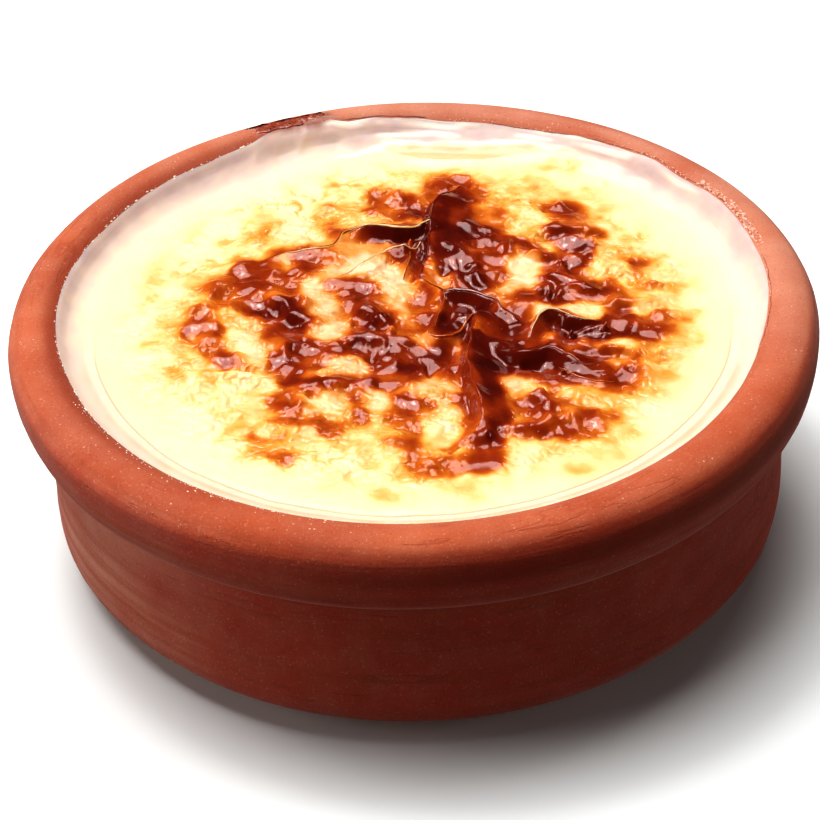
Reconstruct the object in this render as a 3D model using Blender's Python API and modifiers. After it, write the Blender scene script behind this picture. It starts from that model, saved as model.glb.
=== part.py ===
"""Baked rice pudding, set in the round terracotta bowl that it was baked in.

Blender 4.5, metres, +Z up. The origin is the centre of the bowl's foot, and the two pieces
are the bowl, turned on Z, and the pudding that fills it up to just under the rim. The
pudding's browned skin lies in folds, and its edge climbs the rim a little all round.
Run it with: blender --background --python part.py
"""

from dataclasses import dataclass
from math import atan2, cos, exp, hypot, pi, radians, sin, sqrt

import bmesh
import bpy
from mathutils import Vector

MM = 0.001

# The bowl's outside.
BOWL_HEIGHT = 39.4 * MM
RIM_RADIUS = 60.0 * MM
BODY_RADIUS = 55.5 * MM
WAIST_RADIUS = 55.3 * MM
FOOT_RADIUS = 44.0 * MM
FOOT_CURVE_HEIGHT = 9.0 * MM

# The fat rolled rim: three quarter ellipses about one centre.
RIM_CENTRE_RADIUS = 55.8 * MM
RIM_CENTRE_HEIGHT = 35.4 * MM
RIM_INNER_HALF_WIDTH = 4.6 * MM
RIM_DROP = 8.5 * MM
LIP_STEP = 0.6 * MM

# The bowl's inside.
WALL_FOOT_RADIUS = 49.6 * MM
INNER_CORNER = 9.0 * MM
FLOOR_THICKNESS = 5.2 * MM

# The pudding. The touching faces of the two pieces keep a small gap.
GAP = 0.3 * MM
LEVEL = 35.6 * MM
EDGE_HEIGHT = 38.0 * MM
BACK_EDGE_HEIGHT = 39.1 * MM
EDGE_BAND = 5.0 * MM
BACK_EDGE_BAND = 7.0 * MM
BACK_DIRECTION = radians(75.0)
SKIN_RADIUS = 38.0 * MM
SKIN_RISE = 0.7 * MM
SKIN_WAVE = 0.25 * MM
HIGHEST_FOLD = 39.0 * MM
# Long waves in the skin: the direction that each runs in, and its length.
SKIN_WAVES = ((radians(20.0), 13.0 * MM), (radians(85.0), 10.0 * MM), (radians(140.0), 17.0 * MM))

SEGMENTS = 72
TOP_RINGS = 24
ARC_STEPS = 5
FOLD_STEPS = 10
SHARP_ANGLE = radians(35.0)

Point = tuple[float, float]


@dataclass(frozen=True)
class Fold:
    """A fold of the skin, seen from above: a smooth crest through a few points, in mm.

    The skin falls away over `right` mm on the right of the crest's direction, and over
    `left` mm on its left, so that a fold can have one steep side.
    """

    crest: tuple[Point, ...]
    height: float
    right: float
    left: float


FOLDS = (
    # The flap at the back left, steep towards the front, and the ridge that meets it.
    Fold(((-24.6, 16.0), (-16.0, 18.9), (-9.9, 23.9), (3.5, 25.4)), 2.6, 1.8, 4.2),
    Fold(((8.6, 35.6), (3.9, 27.4), (3.5, 20.3), (1.1, 11.7)), 2.4, 3.0, 3.0),
    Fold(((-0.3, 19.2), (-6.0, 15.6), (-12.0, 10.9)), 1.5, 3.0, 2.2),
    # The two curls at the middle.
    Fold(((1.1, 10.3), (5.1, 5.6), (8.3, 6.0), (12.9, 1.4)), 2.5, 2.0, 3.2),
    Fold(((1.1, -5.4), (6.9, -4.4), (10.8, 2.4)), 2.0, 2.4, 2.4),
    # The long ridge that runs to the front.
    Fold(((10.0, -1.0), (8.6, -10.4), (9.9, -22.6), (5.8, -31.1)), 2.6, 3.2, 1.9),
    # The folds on the right.
    Fold(((9.4, -8.3), (18.3, -9.0), (20.8, -8.9), (25.0, -13.4)), 2.6, 2.2, 2.8),
    Fold(((17.6, -6.0), (20.4, -0.8), (28.3, -2.2)), 1.7, 2.2, 2.2),
    Fold(((19.7, 10.3), (22.6, 9.2), (26.1, 7.4)), 1.4, 2.0, 2.4),
    # The shallow crease on the left.
    Fold(((-34.6, -11.5), (-24.6, -13.3), (-17.4, -16.1), (-4.6, -14.7)), 1.2, 2.2, 2.6),
)


def clear_scene() -> None:
    """Remove every object of the scene."""
    for existing in list(bpy.data.objects):
        bpy.data.objects.remove(existing, do_unlink=True)


def make_material(name: str, colour: tuple[float, float, float], roughness: float) -> bpy.types.Material:
    """A plain, non-metallic Principled material."""
    material = bpy.data.materials.new(name)
    material.use_nodes = True
    shader = material.node_tree.nodes["Principled BSDF"]
    shader.inputs["Base Color"].default_value = (*colour, 1.0)
    shader.inputs["Roughness"].default_value = roughness
    shader.inputs["Metallic"].default_value = 0.0
    return material


def ellipse_arc(
    centre: Point, half_width: float, half_height: float, start: float, end: float
) -> list[Point]:
    """Points on an ellipse from one angle to another, in degrees, both ends included."""
    step = (end - start) / ARC_STEPS
    angles = [radians(start + step * number) for number in range(ARC_STEPS + 1)]
    return [(centre[0] + half_width * cos(a), centre[1] + half_height * sin(a)) for a in angles]


def inner_profile(clearance: float, top_angle: float) -> list[Point]:
    """The bowl's inside, moved inwards by a clearance, from the floor's edge up the rim.

    It ends at top_angle on the rim's inner ellipse: 180 is the wall's top, 90 the crown.
    """
    corner = INNER_CORNER - clearance
    corner_centre = (WALL_FOOT_RADIUS - INNER_CORNER, FLOOR_THICKNESS + INNER_CORNER)
    rim_centre = (RIM_CENTRE_RADIUS, RIM_CENTRE_HEIGHT)
    half_width = RIM_INNER_HALF_WIDTH + clearance
    half_height = BOWL_HEIGHT - RIM_CENTRE_HEIGHT + clearance
    return [
        *ellipse_arc(corner_centre, corner, corner, -90.0, 0.0),
        *ellipse_arc(rim_centre, half_width, half_height, 180.0, top_angle),
    ]


def bowl_profile() -> list[Point]:
    """The bowl's section, from the middle of its floor over the rim to the middle of its foot."""
    rim_centre = (RIM_CENTRE_RADIUS, RIM_CENTRE_HEIGHT)
    rim_half_width = RIM_RADIUS - RIM_CENTRE_RADIUS
    rim_half_height = BOWL_HEIGHT - RIM_CENTRE_HEIGHT
    lip_height = RIM_CENTRE_HEIGHT - RIM_DROP
    foot_centre = (FOOT_RADIUS, FOOT_CURVE_HEIGHT)
    foot_half_width = BODY_RADIUS - FOOT_RADIUS
    return [
        (0.0, FLOOR_THICKNESS),
        *inner_profile(0.0, 90.0),
        *ellipse_arc(rim_centre, rim_half_width, rim_half_height, 90.0, 0.0)[1:],
        *ellipse_arc(rim_centre, rim_half_width, RIM_DROP, 0.0, -90.0)[1:],
        (WAIST_RADIUS, lip_height - LIP_STEP),
        *ellipse_arc(foot_centre, foot_half_width, FOOT_CURVE_HEIGHT, 0.0, -90.0),
        (0.0, 0.0),
    ]


def flank_radius(height: float) -> float:
    """The radius at which the pudding's edge lies on the rim's inner side, at a height."""
    half_width = RIM_INNER_HALF_WIDTH + GAP
    half_height = BOWL_HEIGHT - RIM_CENTRE_HEIGHT + GAP
    share = (height - RIM_CENTRE_HEIGHT) / half_height
    return RIM_CENTRE_RADIUS - half_width * sqrt(max(0.0, 1.0 - share * share))


def pudding_profile() -> list[Point]:
    """The pudding's section, from the middle of its top over its edge to the middle below."""
    half_height = BOWL_HEIGHT - RIM_CENTRE_HEIGHT + GAP
    rise = (EDGE_HEIGHT - RIM_CENTRE_HEIGHT) / half_height
    edge_angle = 180.0 - atan2(rise, sqrt(1.0 - rise * rise)) * 180.0 / pi
    edge_radius = flank_radius(EDGE_HEIGHT)
    rings = [(edge_radius * number / TOP_RINGS, LEVEL) for number in range(TOP_RINGS)]
    return [*rings, *reversed(inner_profile(GAP, edge_angle)), (0.0, FLOOR_THICKNESS + GAP)]


def turned_object(name: str, profile: list[Point], material: bpy.types.Material) -> bpy.types.Object:
    """Turn a section about Z into a closed solid."""
    mesh = bpy.data.meshes.new(name)
    edges = [(number, number + 1) for number in range(len(profile) - 1)]
    mesh.from_pydata([(radius, 0.0, height) for radius, height in profile], edges, [])
    mesh.materials.append(material)
    piece = bpy.data.objects.new(name, mesh)
    screw = piece.modifiers.new("Turn", "SCREW")
    screw.angle = 2.0 * pi
    screw.steps = SEGMENTS
    screw.render_steps = SEGMENTS
    screw.use_merge_vertices = True
    screw.merge_threshold = 0.01 * MM
    screw.use_smooth_shade = True
    return piece


def smooth_curve(points: tuple[Point, ...]) -> list[Vector]:
    """A Catmull-Rom curve through the points, in mm, as short straight runs."""
    knots = [Vector(point) for point in points]
    knots = [2.0 * knots[0] - knots[1], *knots, 2.0 * knots[-1] - knots[-2]]
    curve = []
    for before, start, end, after in zip(knots, knots[1:], knots[2:], knots[3:]):
        for number in range(FOLD_STEPS):
            t = number / FOLD_STEPS
            bend = (2.0 * before - 5.0 * start + 4.0 * end - after) * t**2
            twist = (3.0 * (start - end) + after - before) * t**3
            curve.append((2.0 * start + (end - before) * t + bend + twist) / 2.0)
    return [*curve, knots[-2]]


def fold_height(fold: Fold, curve: list[Vector], place: Vector) -> float:
    """How far one fold lifts the skin at a place, in mm. It tapers off at both ends."""
    nearest = min(range(len(curve)), key=lambda number: (curve[number] - place).length)
    ahead = curve[min(nearest + 1, len(curve) - 1)] - curve[max(nearest - 1, 0)]
    offset = place - curve[nearest]
    on_left = ahead.x * offset.y - ahead.y * offset.x > 0.0
    width = fold.left if on_left else fold.right
    taper = 0.35 + 0.65 * sin(pi * nearest / (len(curve) - 1))
    return fold.height * taper * exp(-((offset.length / width) ** 2))


def edge_lift(angle: float) -> float:
    """How much of the climb at the back the edge has in a direction, from 0 to 1."""
    return max(0.0, cos(angle - BACK_DIRECTION)) ** 2


def edge_height(angle: float) -> float:
    """The height of the pudding's edge on the rim, in a direction."""
    return EDGE_HEIGHT + (BACK_EDGE_HEIGHT - EDGE_HEIGHT) * edge_lift(angle)


def skin_height(x: float, y: float, curves: list[list[Vector]]) -> float:
    """The height of the pudding's top at a place."""
    radius = hypot(x, y)
    angle = atan2(y, x)
    band = EDGE_BAND + (BACK_EDGE_BAND - EDGE_BAND) * edge_lift(angle)
    climb = max(0.0, 1.0 - (flank_radius(edge_height(angle)) - radius) / band)
    level = LEVEL + (edge_height(angle) - LEVEL) * climb**2
    inside = 1.0 / (1.0 + exp((radius - SKIN_RADIUS) / (2.0 * MM)))
    waves = sum(sin(2.0 * pi * (x * cos(a) + y * sin(a)) / length) for a, length in SKIN_WAVES)
    place = Vector((x, y)) / MM
    folds = MM * max(fold_height(fold, curve, place) for fold, curve in zip(FOLDS, curves))
    lifted = level + inside * (SKIN_RISE + SKIN_WAVE * waves + folds)
    return min(lifted, HIGHEST_FOLD) if radius < SKIN_RADIUS else lifted


def shape_skin(mesh: bpy.types.Mesh) -> None:
    """Lift the turned pudding's top into folds, and carry its edge up the rim."""
    curves = [smooth_curve(fold.crest) for fold in FOLDS]
    turned_edge = flank_radius(EDGE_HEIGHT)
    last_ring = turned_edge * (TOP_RINGS - 0.5) / TOP_RINGS
    shape = bmesh.new()
    shape.from_mesh(mesh)
    for vertex in shape.verts:
        x, y, height = vertex.co
        angle = atan2(y, x)
        radius = hypot(x, y)
        edge = edge_height(angle)
        if height > LEVEL - GAP and radius < last_ring:
            radius *= flank_radius(edge) / turned_edge
            height = skin_height(radius * cos(angle), radius * sin(angle), curves)
        elif height > RIM_CENTRE_HEIGHT:
            share = (edge - RIM_CENTRE_HEIGHT) / (EDGE_HEIGHT - RIM_CENTRE_HEIGHT)
            height = RIM_CENTRE_HEIGHT + (height - RIM_CENTRE_HEIGHT) * share
            radius = flank_radius(height)
        vertex.co = (radius * cos(angle), radius * sin(angle), height)
    shape.to_mesh(mesh)
    shape.free()


def make_bowl() -> bpy.types.Object:
    """The terracotta bowl."""
    terracotta = make_material("Terracotta", (0.47, 0.14, 0.065), 0.8)
    return turned_object("bowl", bowl_profile(), terracotta)


def make_pudding() -> bpy.types.Object:
    """The pudding, with its top shaped once it is turned."""
    cream = make_material("Baked_cream", (0.93, 0.78, 0.45), 0.35)
    turned = turned_object("turned_pudding", pudding_profile(), cream)
    bpy.context.scene.collection.objects.link(turned)
    graph = bpy.context.evaluated_depsgraph_get()
    mesh = bpy.data.meshes.new_from_object(turned.evaluated_get(graph))
    mesh.name = "pudding"
    bpy.data.objects.remove(turned, do_unlink=True)
    shape_skin(mesh)
    mesh.shade_smooth()
    mesh.set_sharp_from_angle(angle=SHARP_ANGLE)
    return bpy.data.objects.new("pudding", mesh)


def main() -> None:
    """Build the bowl and the pudding in a collection of their own."""
    clear_scene()
    dish = bpy.data.collections.new("Rice_pudding")
    bpy.context.scene.collection.children.link(dish)
    dish.objects.link(make_bowl())
    dish.objects.link(make_pudding())


main()
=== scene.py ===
import logging
import math
from dataclasses import dataclass, field

import bmesh
import bpy
import numpy as np
from mathutils import Matrix, Vector


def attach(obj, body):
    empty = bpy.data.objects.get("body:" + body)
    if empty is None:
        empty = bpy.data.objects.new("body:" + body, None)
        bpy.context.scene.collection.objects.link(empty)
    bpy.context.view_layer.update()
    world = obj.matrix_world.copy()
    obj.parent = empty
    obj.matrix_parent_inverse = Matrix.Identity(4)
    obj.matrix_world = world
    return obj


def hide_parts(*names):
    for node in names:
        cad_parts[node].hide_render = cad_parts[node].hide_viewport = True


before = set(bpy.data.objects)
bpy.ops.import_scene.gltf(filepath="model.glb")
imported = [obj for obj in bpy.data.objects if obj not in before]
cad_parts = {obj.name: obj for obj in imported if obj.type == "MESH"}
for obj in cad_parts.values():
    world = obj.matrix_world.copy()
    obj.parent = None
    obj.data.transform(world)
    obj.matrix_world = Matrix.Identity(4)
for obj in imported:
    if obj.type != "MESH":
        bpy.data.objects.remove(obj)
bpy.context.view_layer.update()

MM = 0.001
BODY = "root"

logging.basicConfig(level=logging.INFO, format="%(message)s")
log = logging.getLogger("rice_pudding")

Colour = tuple[float, float, float]
Point = tuple[float, float]
Place = tuple[float, float, float]
Array = np.ndarray
Rows = tuple[tuple[float, ...], ...]
Piece = bpy.types.Object
Material = bpy.types.Material
Socket = bpy.types.NodeSocket
Value = Socket | float | tuple[float, ...]


# ---------------------------------------------------------------- noise and helpers


class Noise:
    """Smooth gradient noise over a plane, from about -1 to 1, the same on every run."""

    cells = 256

    def __init__(self, seed: int) -> None:
        """Draw the gradients.

        Args:
            seed: Which noise this is.
        """
        draw = np.random.default_rng(seed)
        angles = draw.random((self.cells, self.cells)) * 2.0 * np.pi
        self.east = np.cos(angles)
        self.north = np.sin(angles)

    def corner(self, column: Array, row: Array, dx: Array, dy: Array) -> Array:
        """The pull of one corner of the lattice on places near it.

        Args:
            column: The corner's column at each place.
            row: Its row.
            dx: How far each place lies from the corner along X, in cells.
            dy: How far along Y.

        Returns:
            One value for each place.
        """
        column, row = column % self.cells, row % self.cells
        return self.east[column, row] * dx + self.north[column, row] * dy

    def at(self, x: Array, y: Array | float, length: float = 1.0) -> Array:
        """Read the noise.

        Args:
            x: Places along X.
            y: Places along Y, or one for all.
            length: The size of one lump of the noise, in the same unit.

        Returns:
            One value for each place.
        """
        x = x / length
        y = y / length
        column = np.floor(x).astype(int)
        row = np.floor(y).astype(int)
        dx = x - column
        dy = y - row
        u = dx**3 * (dx * (dx * 6.0 - 15.0) + 10.0)
        v = dy**3 * (dy * (dy * 6.0 - 15.0) + 10.0)
        low = self.corner(column, row, dx, dy) * (1.0 - u)
        low += self.corner(column + 1, row, dx - 1.0, dy) * u
        high = self.corner(column, row + 1, dx, dy - 1.0) * (1.0 - u)
        high += self.corner(column + 1, row + 1, dx - 1.0, dy - 1.0) * u
        return 1.5 * (low * (1.0 - v) + high * v)

    def layered(self, x: Array, y: Array | float, length: float, layers: int = 3) -> Array:
        """Add finer and weaker layers of the noise.

        Args:
            x: Places along X.
            y: Places along Y, or one for all.
            length: The size of the coarsest lumps.
            layers: How many layers there are, each half as large as the one before.

        Returns:
            One value for each place.
        """
        total = np.zeros_like(x)
        for layer in range(layers):
            share = 0.5**layer
            total += share * self.at(x + 31.7 * layer, y - 17.3 * layer, length * share)
        return total


def smooth_step(low: float, high: float, value: Array) -> Array:
    """Rise smoothly from 0 at `low` to 1 at `high`, which may be the smaller of the two."""
    share = np.clip((value - low) / (high - low), 0.0, 1.0)
    return share * share * (3.0 - 2.0 * share)


def at_directions(angle: Array, rows: Rows, column: int = 1) -> Array:
    """Read a measure that is given in a few directions.

    Args:
        angle: Directions from the middle.
        rows: A few directions in degrees, each with its measures.
        column: Which measure is read.

    Returns:
        The measure in each direction.
    """
    table = np.array(rows, dtype=float)
    return np.interp(np.degrees(angle) % 360.0, table[:, 0], table[:, column])


def deselect() -> None:
    """Leave edit mode and select nothing."""
    if bpy.context.object and bpy.context.object.mode == "EDIT":
        bpy.ops.object.mode_set(mode="OBJECT")
    bpy.ops.object.select_all(action="DESELECT")


def select_boundary(piece: Piece) -> None:
    """Select only the open edges of a piece that is in edit mode.

    Args:
        piece: The piece.
    """
    bpy.ops.mesh.select_all(action="DESELECT")
    shape = bmesh.from_edit_mesh(piece.data)
    for edge in shape.edges:
        edge.select = edge.is_boundary
    bmesh.update_edit_mesh(piece.data)


def finish_mesh() -> None:
    """Point all faces of the piece that is in edit mode out, and leave edit mode."""
    bpy.ops.mesh.select_all(action="SELECT")
    bpy.ops.mesh.normals_make_consistent(inside=False)
    bpy.ops.object.mode_set(mode="OBJECT")


def link_piece(name: str, mesh: bpy.types.Mesh) -> Piece:
    """Make a piece of the scene from a mesh.

    Args:
        name: The piece's name.
        mesh: Its mesh, in metres.

    Returns:
        The piece.
    """
    piece = bpy.data.objects.new(name, mesh)
    bpy.context.scene.collection.objects.link(piece)
    return piece


def coordinates(piece: Piece) -> Array:
    """Read where the piece's points are.

    Args:
        piece: The piece.

    Returns:
        The points, one row each, in metres.
    """
    points = np.empty(len(piece.data.vertices) * 3)
    piece.data.vertices.foreach_get("co", points)
    return points.reshape(-1, 3)


def place_points(piece: Piece, points: Array) -> None:
    """Put the piece's points in place."""
    piece.data.vertices.foreach_set("co", points.ravel())
    piece.data.update()


def paint(piece: Piece, **numbers: Array) -> None:
    """Store numbers on the piece's points, which a finish reads by their names.

    Args:
        piece: The piece.
        numbers: One value for each point, under each name.
    """
    for name, values in numbers.items():
        layer = piece.data.attributes.new(name, "FLOAT", "POINT")
        layer.data.foreach_set("value", values.astype(np.float32))


def tidy_normals(piece: Piece) -> None:
    """Point the faces of a piece out that isn't in edit mode.

    Args:
        piece: The piece.
    """
    shape = bmesh.new()
    shape.from_mesh(piece.data)
    bmesh.ops.recalc_face_normals(shape, faces=shape.faces)
    shape.to_mesh(piece.data)
    shape.free()


def dress(piece: Piece, material: Material) -> None:
    """Give a piece its finish and its place on the object.

    Args:
        piece: The piece.
        material: Its finish.
    """
    piece.data.materials.clear()
    piece.data.materials.append(material)
    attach(piece, BODY)
    log.info("%s: %d points, %d faces", piece.name, len(piece.data.vertices), len(piece.data.polygons))


# ---------------------------------------------------------------- finishes


class Finish:
    """A node material under construction, with short ways to add what the finishes share."""

    def __init__(self, name: str) -> None:
        """Start a material with one Principled shader.

        Args:
            name: The material's name.
        """
        self.material = bpy.data.materials.new(name)
        self.material.use_nodes = True
        self.nodes = self.material.node_tree.nodes
        self.shader = self.nodes["Principled BSDF"]
        self.place = self.nodes.new("ShaderNodeTexCoord").outputs["Object"]

    def join(self, output: Socket, target: Socket) -> None:
        """Link one socket to another."""
        self.material.node_tree.links.new(output, target)

    def feed(self, socket: Socket, value: Value) -> None:
        """Set a socket, or link it to another one.

        Args:
            socket: The socket.
            value: A number or a colour, or the socket that gives it.
        """
        if isinstance(value, Socket):
            self.join(value, socket)
        else:
            socket.default_value = value

    def noise(self, size_mm: float, detail: float = 2.0, stretch: Colour = (1.0, 1.0, 1.0)) -> Socket:
        """Noise whose lumps have a given size.

        Args:
            size_mm: The size of a lump.
            detail: How many finer layers it has.
            stretch: How much denser the noise is along each axis.

        Returns:
            The noise's value.
        """
        mapping = self.nodes.new("ShaderNodeMapping")
        mapping.inputs["Scale"].default_value = stretch
        self.join(self.place, mapping.inputs["Vector"])
        texture = self.nodes.new("ShaderNodeTexNoise")
        texture.inputs["Scale"].default_value = 1.0 / (size_mm * MM)
        texture.inputs["Detail"].default_value = detail
        self.join(mapping.outputs["Vector"], texture.inputs["Vector"])
        return texture.outputs["Fac"]

    def bubbles(self, size_mm: float) -> Socket:
        """The distance from each place to the nearest of many scattered points.

        Args:
            size_mm: About how far the points lie from each other.

        Returns:
            The distance, as a share of that size.
        """
        texture = self.nodes.new("ShaderNodeTexVoronoi")
        texture.inputs["Scale"].default_value = 1.0 / (size_mm * MM)
        self.join(self.place, texture.inputs["Vector"])
        return texture.outputs["Distance"]

    def attribute(self, name: str) -> Socket:
        """Read a number that paint() stored on the piece's points.

        Args:
            name: The number's name.

        Returns:
            The number.
        """
        reader = self.nodes.new("ShaderNodeAttribute")
        reader.attribute_name = name
        return reader.outputs["Fac"]

    def span(
        self, value: Value, low: float, high: float, to_low: float = 0.0, to_high: float = 1.0
    ) -> Socket:
        """Turn one range of values into another, cut off at both ends.

        Args:
            value: The value.
            low: Where the range starts.
            high: Where it ends.
            to_low: What `low` becomes.
            to_high: What `high` becomes.

        Returns:
            The new value.
        """
        node = self.nodes.new("ShaderNodeMapRange")
        for socket, number in zip(node.inputs[1:5], (low, high, to_low, to_high)):
            socket.default_value = number
        self.feed(node.inputs["Value"], value)
        return node.outputs["Result"]

    def math(self, operation: str, *values: Value) -> Socket:
        """Work out a sum, a product or the like.

        Args:
            operation: What Blender's Math node calls it.
            values: The values it takes.

        Returns:
            The result.
        """
        node = self.nodes.new("ShaderNodeMath")
        node.operation = operation
        for socket, value in zip(node.inputs, values):
            self.feed(socket, value)
        return node.outputs["Value"]

    def times(self, first: Value, second: Value) -> Socket:
        """Multiply two values."""
        return self.math("MULTIPLY", first, second)

    def blend(self, share: Value, first: Value, second: Value) -> Socket:
        """Mix two colours.

        Args:
            share: How much of the second colour there is, from 0 to 1.
            first: The first colour.
            second: The second colour.

        Returns:
            The mixed colour.
        """
        node = self.nodes.new("ShaderNodeMix")
        node.data_type = "RGBA"
        self.feed(node.inputs["Factor"], share)
        for socket, value in ((node.inputs[6], first), (node.inputs[7], second)):
            self.feed(socket, (*value, 1.0) if isinstance(value, tuple) else value)
        return node.outputs[2]

    def ramp(self, value: Value, stops: tuple[tuple[float, Colour], ...]) -> Socket:
        """Colours along a range of values.

        Args:
            value: The value that picks the colour.
            stops: Each place on the range and its colour.

        Returns:
            The colour.
        """
        node = self.nodes.new("ShaderNodeValToRGB")
        elements = node.color_ramp.elements
        while len(elements) < len(stops):
            elements.new(1.0)
        for element, (position, colour) in zip(elements, stops):
            element.position = position
            element.color = (*colour, 1.0)
        self.feed(node.inputs["Fac"], value)
        return node.outputs["Color"]

    def coats(self, base: Value, *layers: tuple[Value, Value]) -> Value:
        """Lay colours over a base, one after the other.

        Args:
            base: The colour below them all.
            layers: How much of each colour there is, and the colour.

        Returns:
            The colour on top.
        """
        for share, colour in layers:
            base = self.blend(share, base, colour)
        return base

    def relief(self, *layers: tuple[Value, float]) -> Socket:
        """Lay fine relief over relief.

        Args:
            layers: Each relief's height, from 0 to 1, and its depth in mm.

        Returns:
            The normal that shows them all.
        """
        normal = None
        for height, depth_mm in layers:
            node = self.nodes.new("ShaderNodeBump")
            node.inputs["Strength"].default_value = 1.0
            node.inputs["Distance"].default_value = depth_mm * MM
            self.feed(node.inputs["Height"], height)
            if normal is not None:
                self.join(normal, node.inputs["Normal"])
            normal = node.outputs["Normal"]
        return normal

    def set(self, **values: Value) -> Material:
        """Set or link the shader's sockets.

        Args:
            values: The value of each socket, which is named with _ for a space.

        Returns:
            The material.
        """
        for name, value in values.items():
            self.feed(self.shader.inputs[name.replace("_", " ")], value)
        return self.material


@dataclass(frozen=True)
class Terracotta:
    """Unglazed, hand-thrown earthenware with pale grit, dusty patches, fine turning lines, and painted sheen
    and shade.
    """

    clay: Colour = (0.51, 0.135, 0.060)
    fired: Colour = (0.40, 0.085, 0.036)
    # A deeper red for the body below the rim's middle and for the front: partly the clay's own tone, partly
    # painted shade.
    deep: Colour = (0.50, 0.077, 0.045)
    deep_fired: Colour = (0.40, 0.062, 0.034)
    # Paler clay for dusty patches and for painted sheen where light glances off the clay.
    bloom: Colour = (0.64, 0.330, 0.235)
    grit: Colour = (0.82, 0.50, 0.37)
    pit: Colour = (0.14, 0.030, 0.015)
    burnt: Colour = (0.17, 0.030, 0.014)
    # The colour of painted shade in the rim's inner side, on its front right and by the lip.
    hollow: Colour = (0.24, 0.028, 0.011)

    def material(self) -> Material:
        """Build the node material.

        Returns:
            The material.
        """
        make = Finish("Terracotta")
        patches = make.span(make.noise(17.0, 4.0), 0.35, 0.65)
        cloud = make.span(make.noise(5.0, 5.0), 0.30, 0.70)
        lines = make.noise(3.2, 3.0, (0.05, 0.05, 1.6))
        scratches = make.noise(1.5, 4.0, (0.07, 0.07, 1.5))
        scratch = make.span(make.math("ABSOLUTE", make.math("SUBTRACT", scratches, 0.34)), 0.022, 0.004)
        deep, scorch = make.attribute("deep"), make.attribute("scorch")
        # The stored share read below is painted sheen where light glances off the clay; the cloud noise adds
        # dusty patches.
        dust_and_sheen_share = make.math("ADD", make.times(cloud, 0.15), make.attribute("bloom"))
        grain = make.noise(0.35, 2.0)
        specks = make.times(make.span(make.bubbles(1.1), 0.15, 0.07), make.span(cloud, 0.45, 0.85, 0.0, 0.8))
        body = make.coats(
            make.blend(patches, self.fired, self.clay),
            # Partly painted shade: a deeper red below the rim's middle and on the front.
            (deep, make.blend(patches, self.deep_fired, self.deep)),
            (make.span(dust_and_sheen_share, 0.0, 1.0), self.bloom),
            (make.span(lines, 0.48, 0.68, 0.0, 0.60), self.fired),
            (make.times(scratch, 0.5), self.fired),
            (make.span(grain, 0.60, 0.80, 0.0, 0.36), self.grit),
            (make.span(grain, 0.36, 0.22, 0.0, 0.6), self.pit),
            (make.times(specks, make.span(deep, 0.0, 1.0, 1.0, 0.3)), self.grit),
            # Painted shade: darker clay in the rim's inner side on the left, on its front right and at the
            # lip.
            (make.attribute("shade"), self.hollow),
            (scorch, self.burnt),
        )
        relief = make.relief(
            (make.noise(0.30, 3.0), 0.05),
            (make.noise(1.6, 3.0), 0.10),
            (lines, 0.30),
            (make.math("SUBTRACT", 1.0, scratch), 0.05),
        )
        return make.set(
            Base_Color=body,
            Roughness=make.span(scorch, 0.0, 0.7, 0.72, 0.25),
            Specular_IOR_Level=make.span(scorch, 0.0, 0.7, 0.14, 0.5),
            Sheen_Weight=0.10,
            Sheen_Roughness=0.45,
            Normal=relief,
        )


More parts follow.
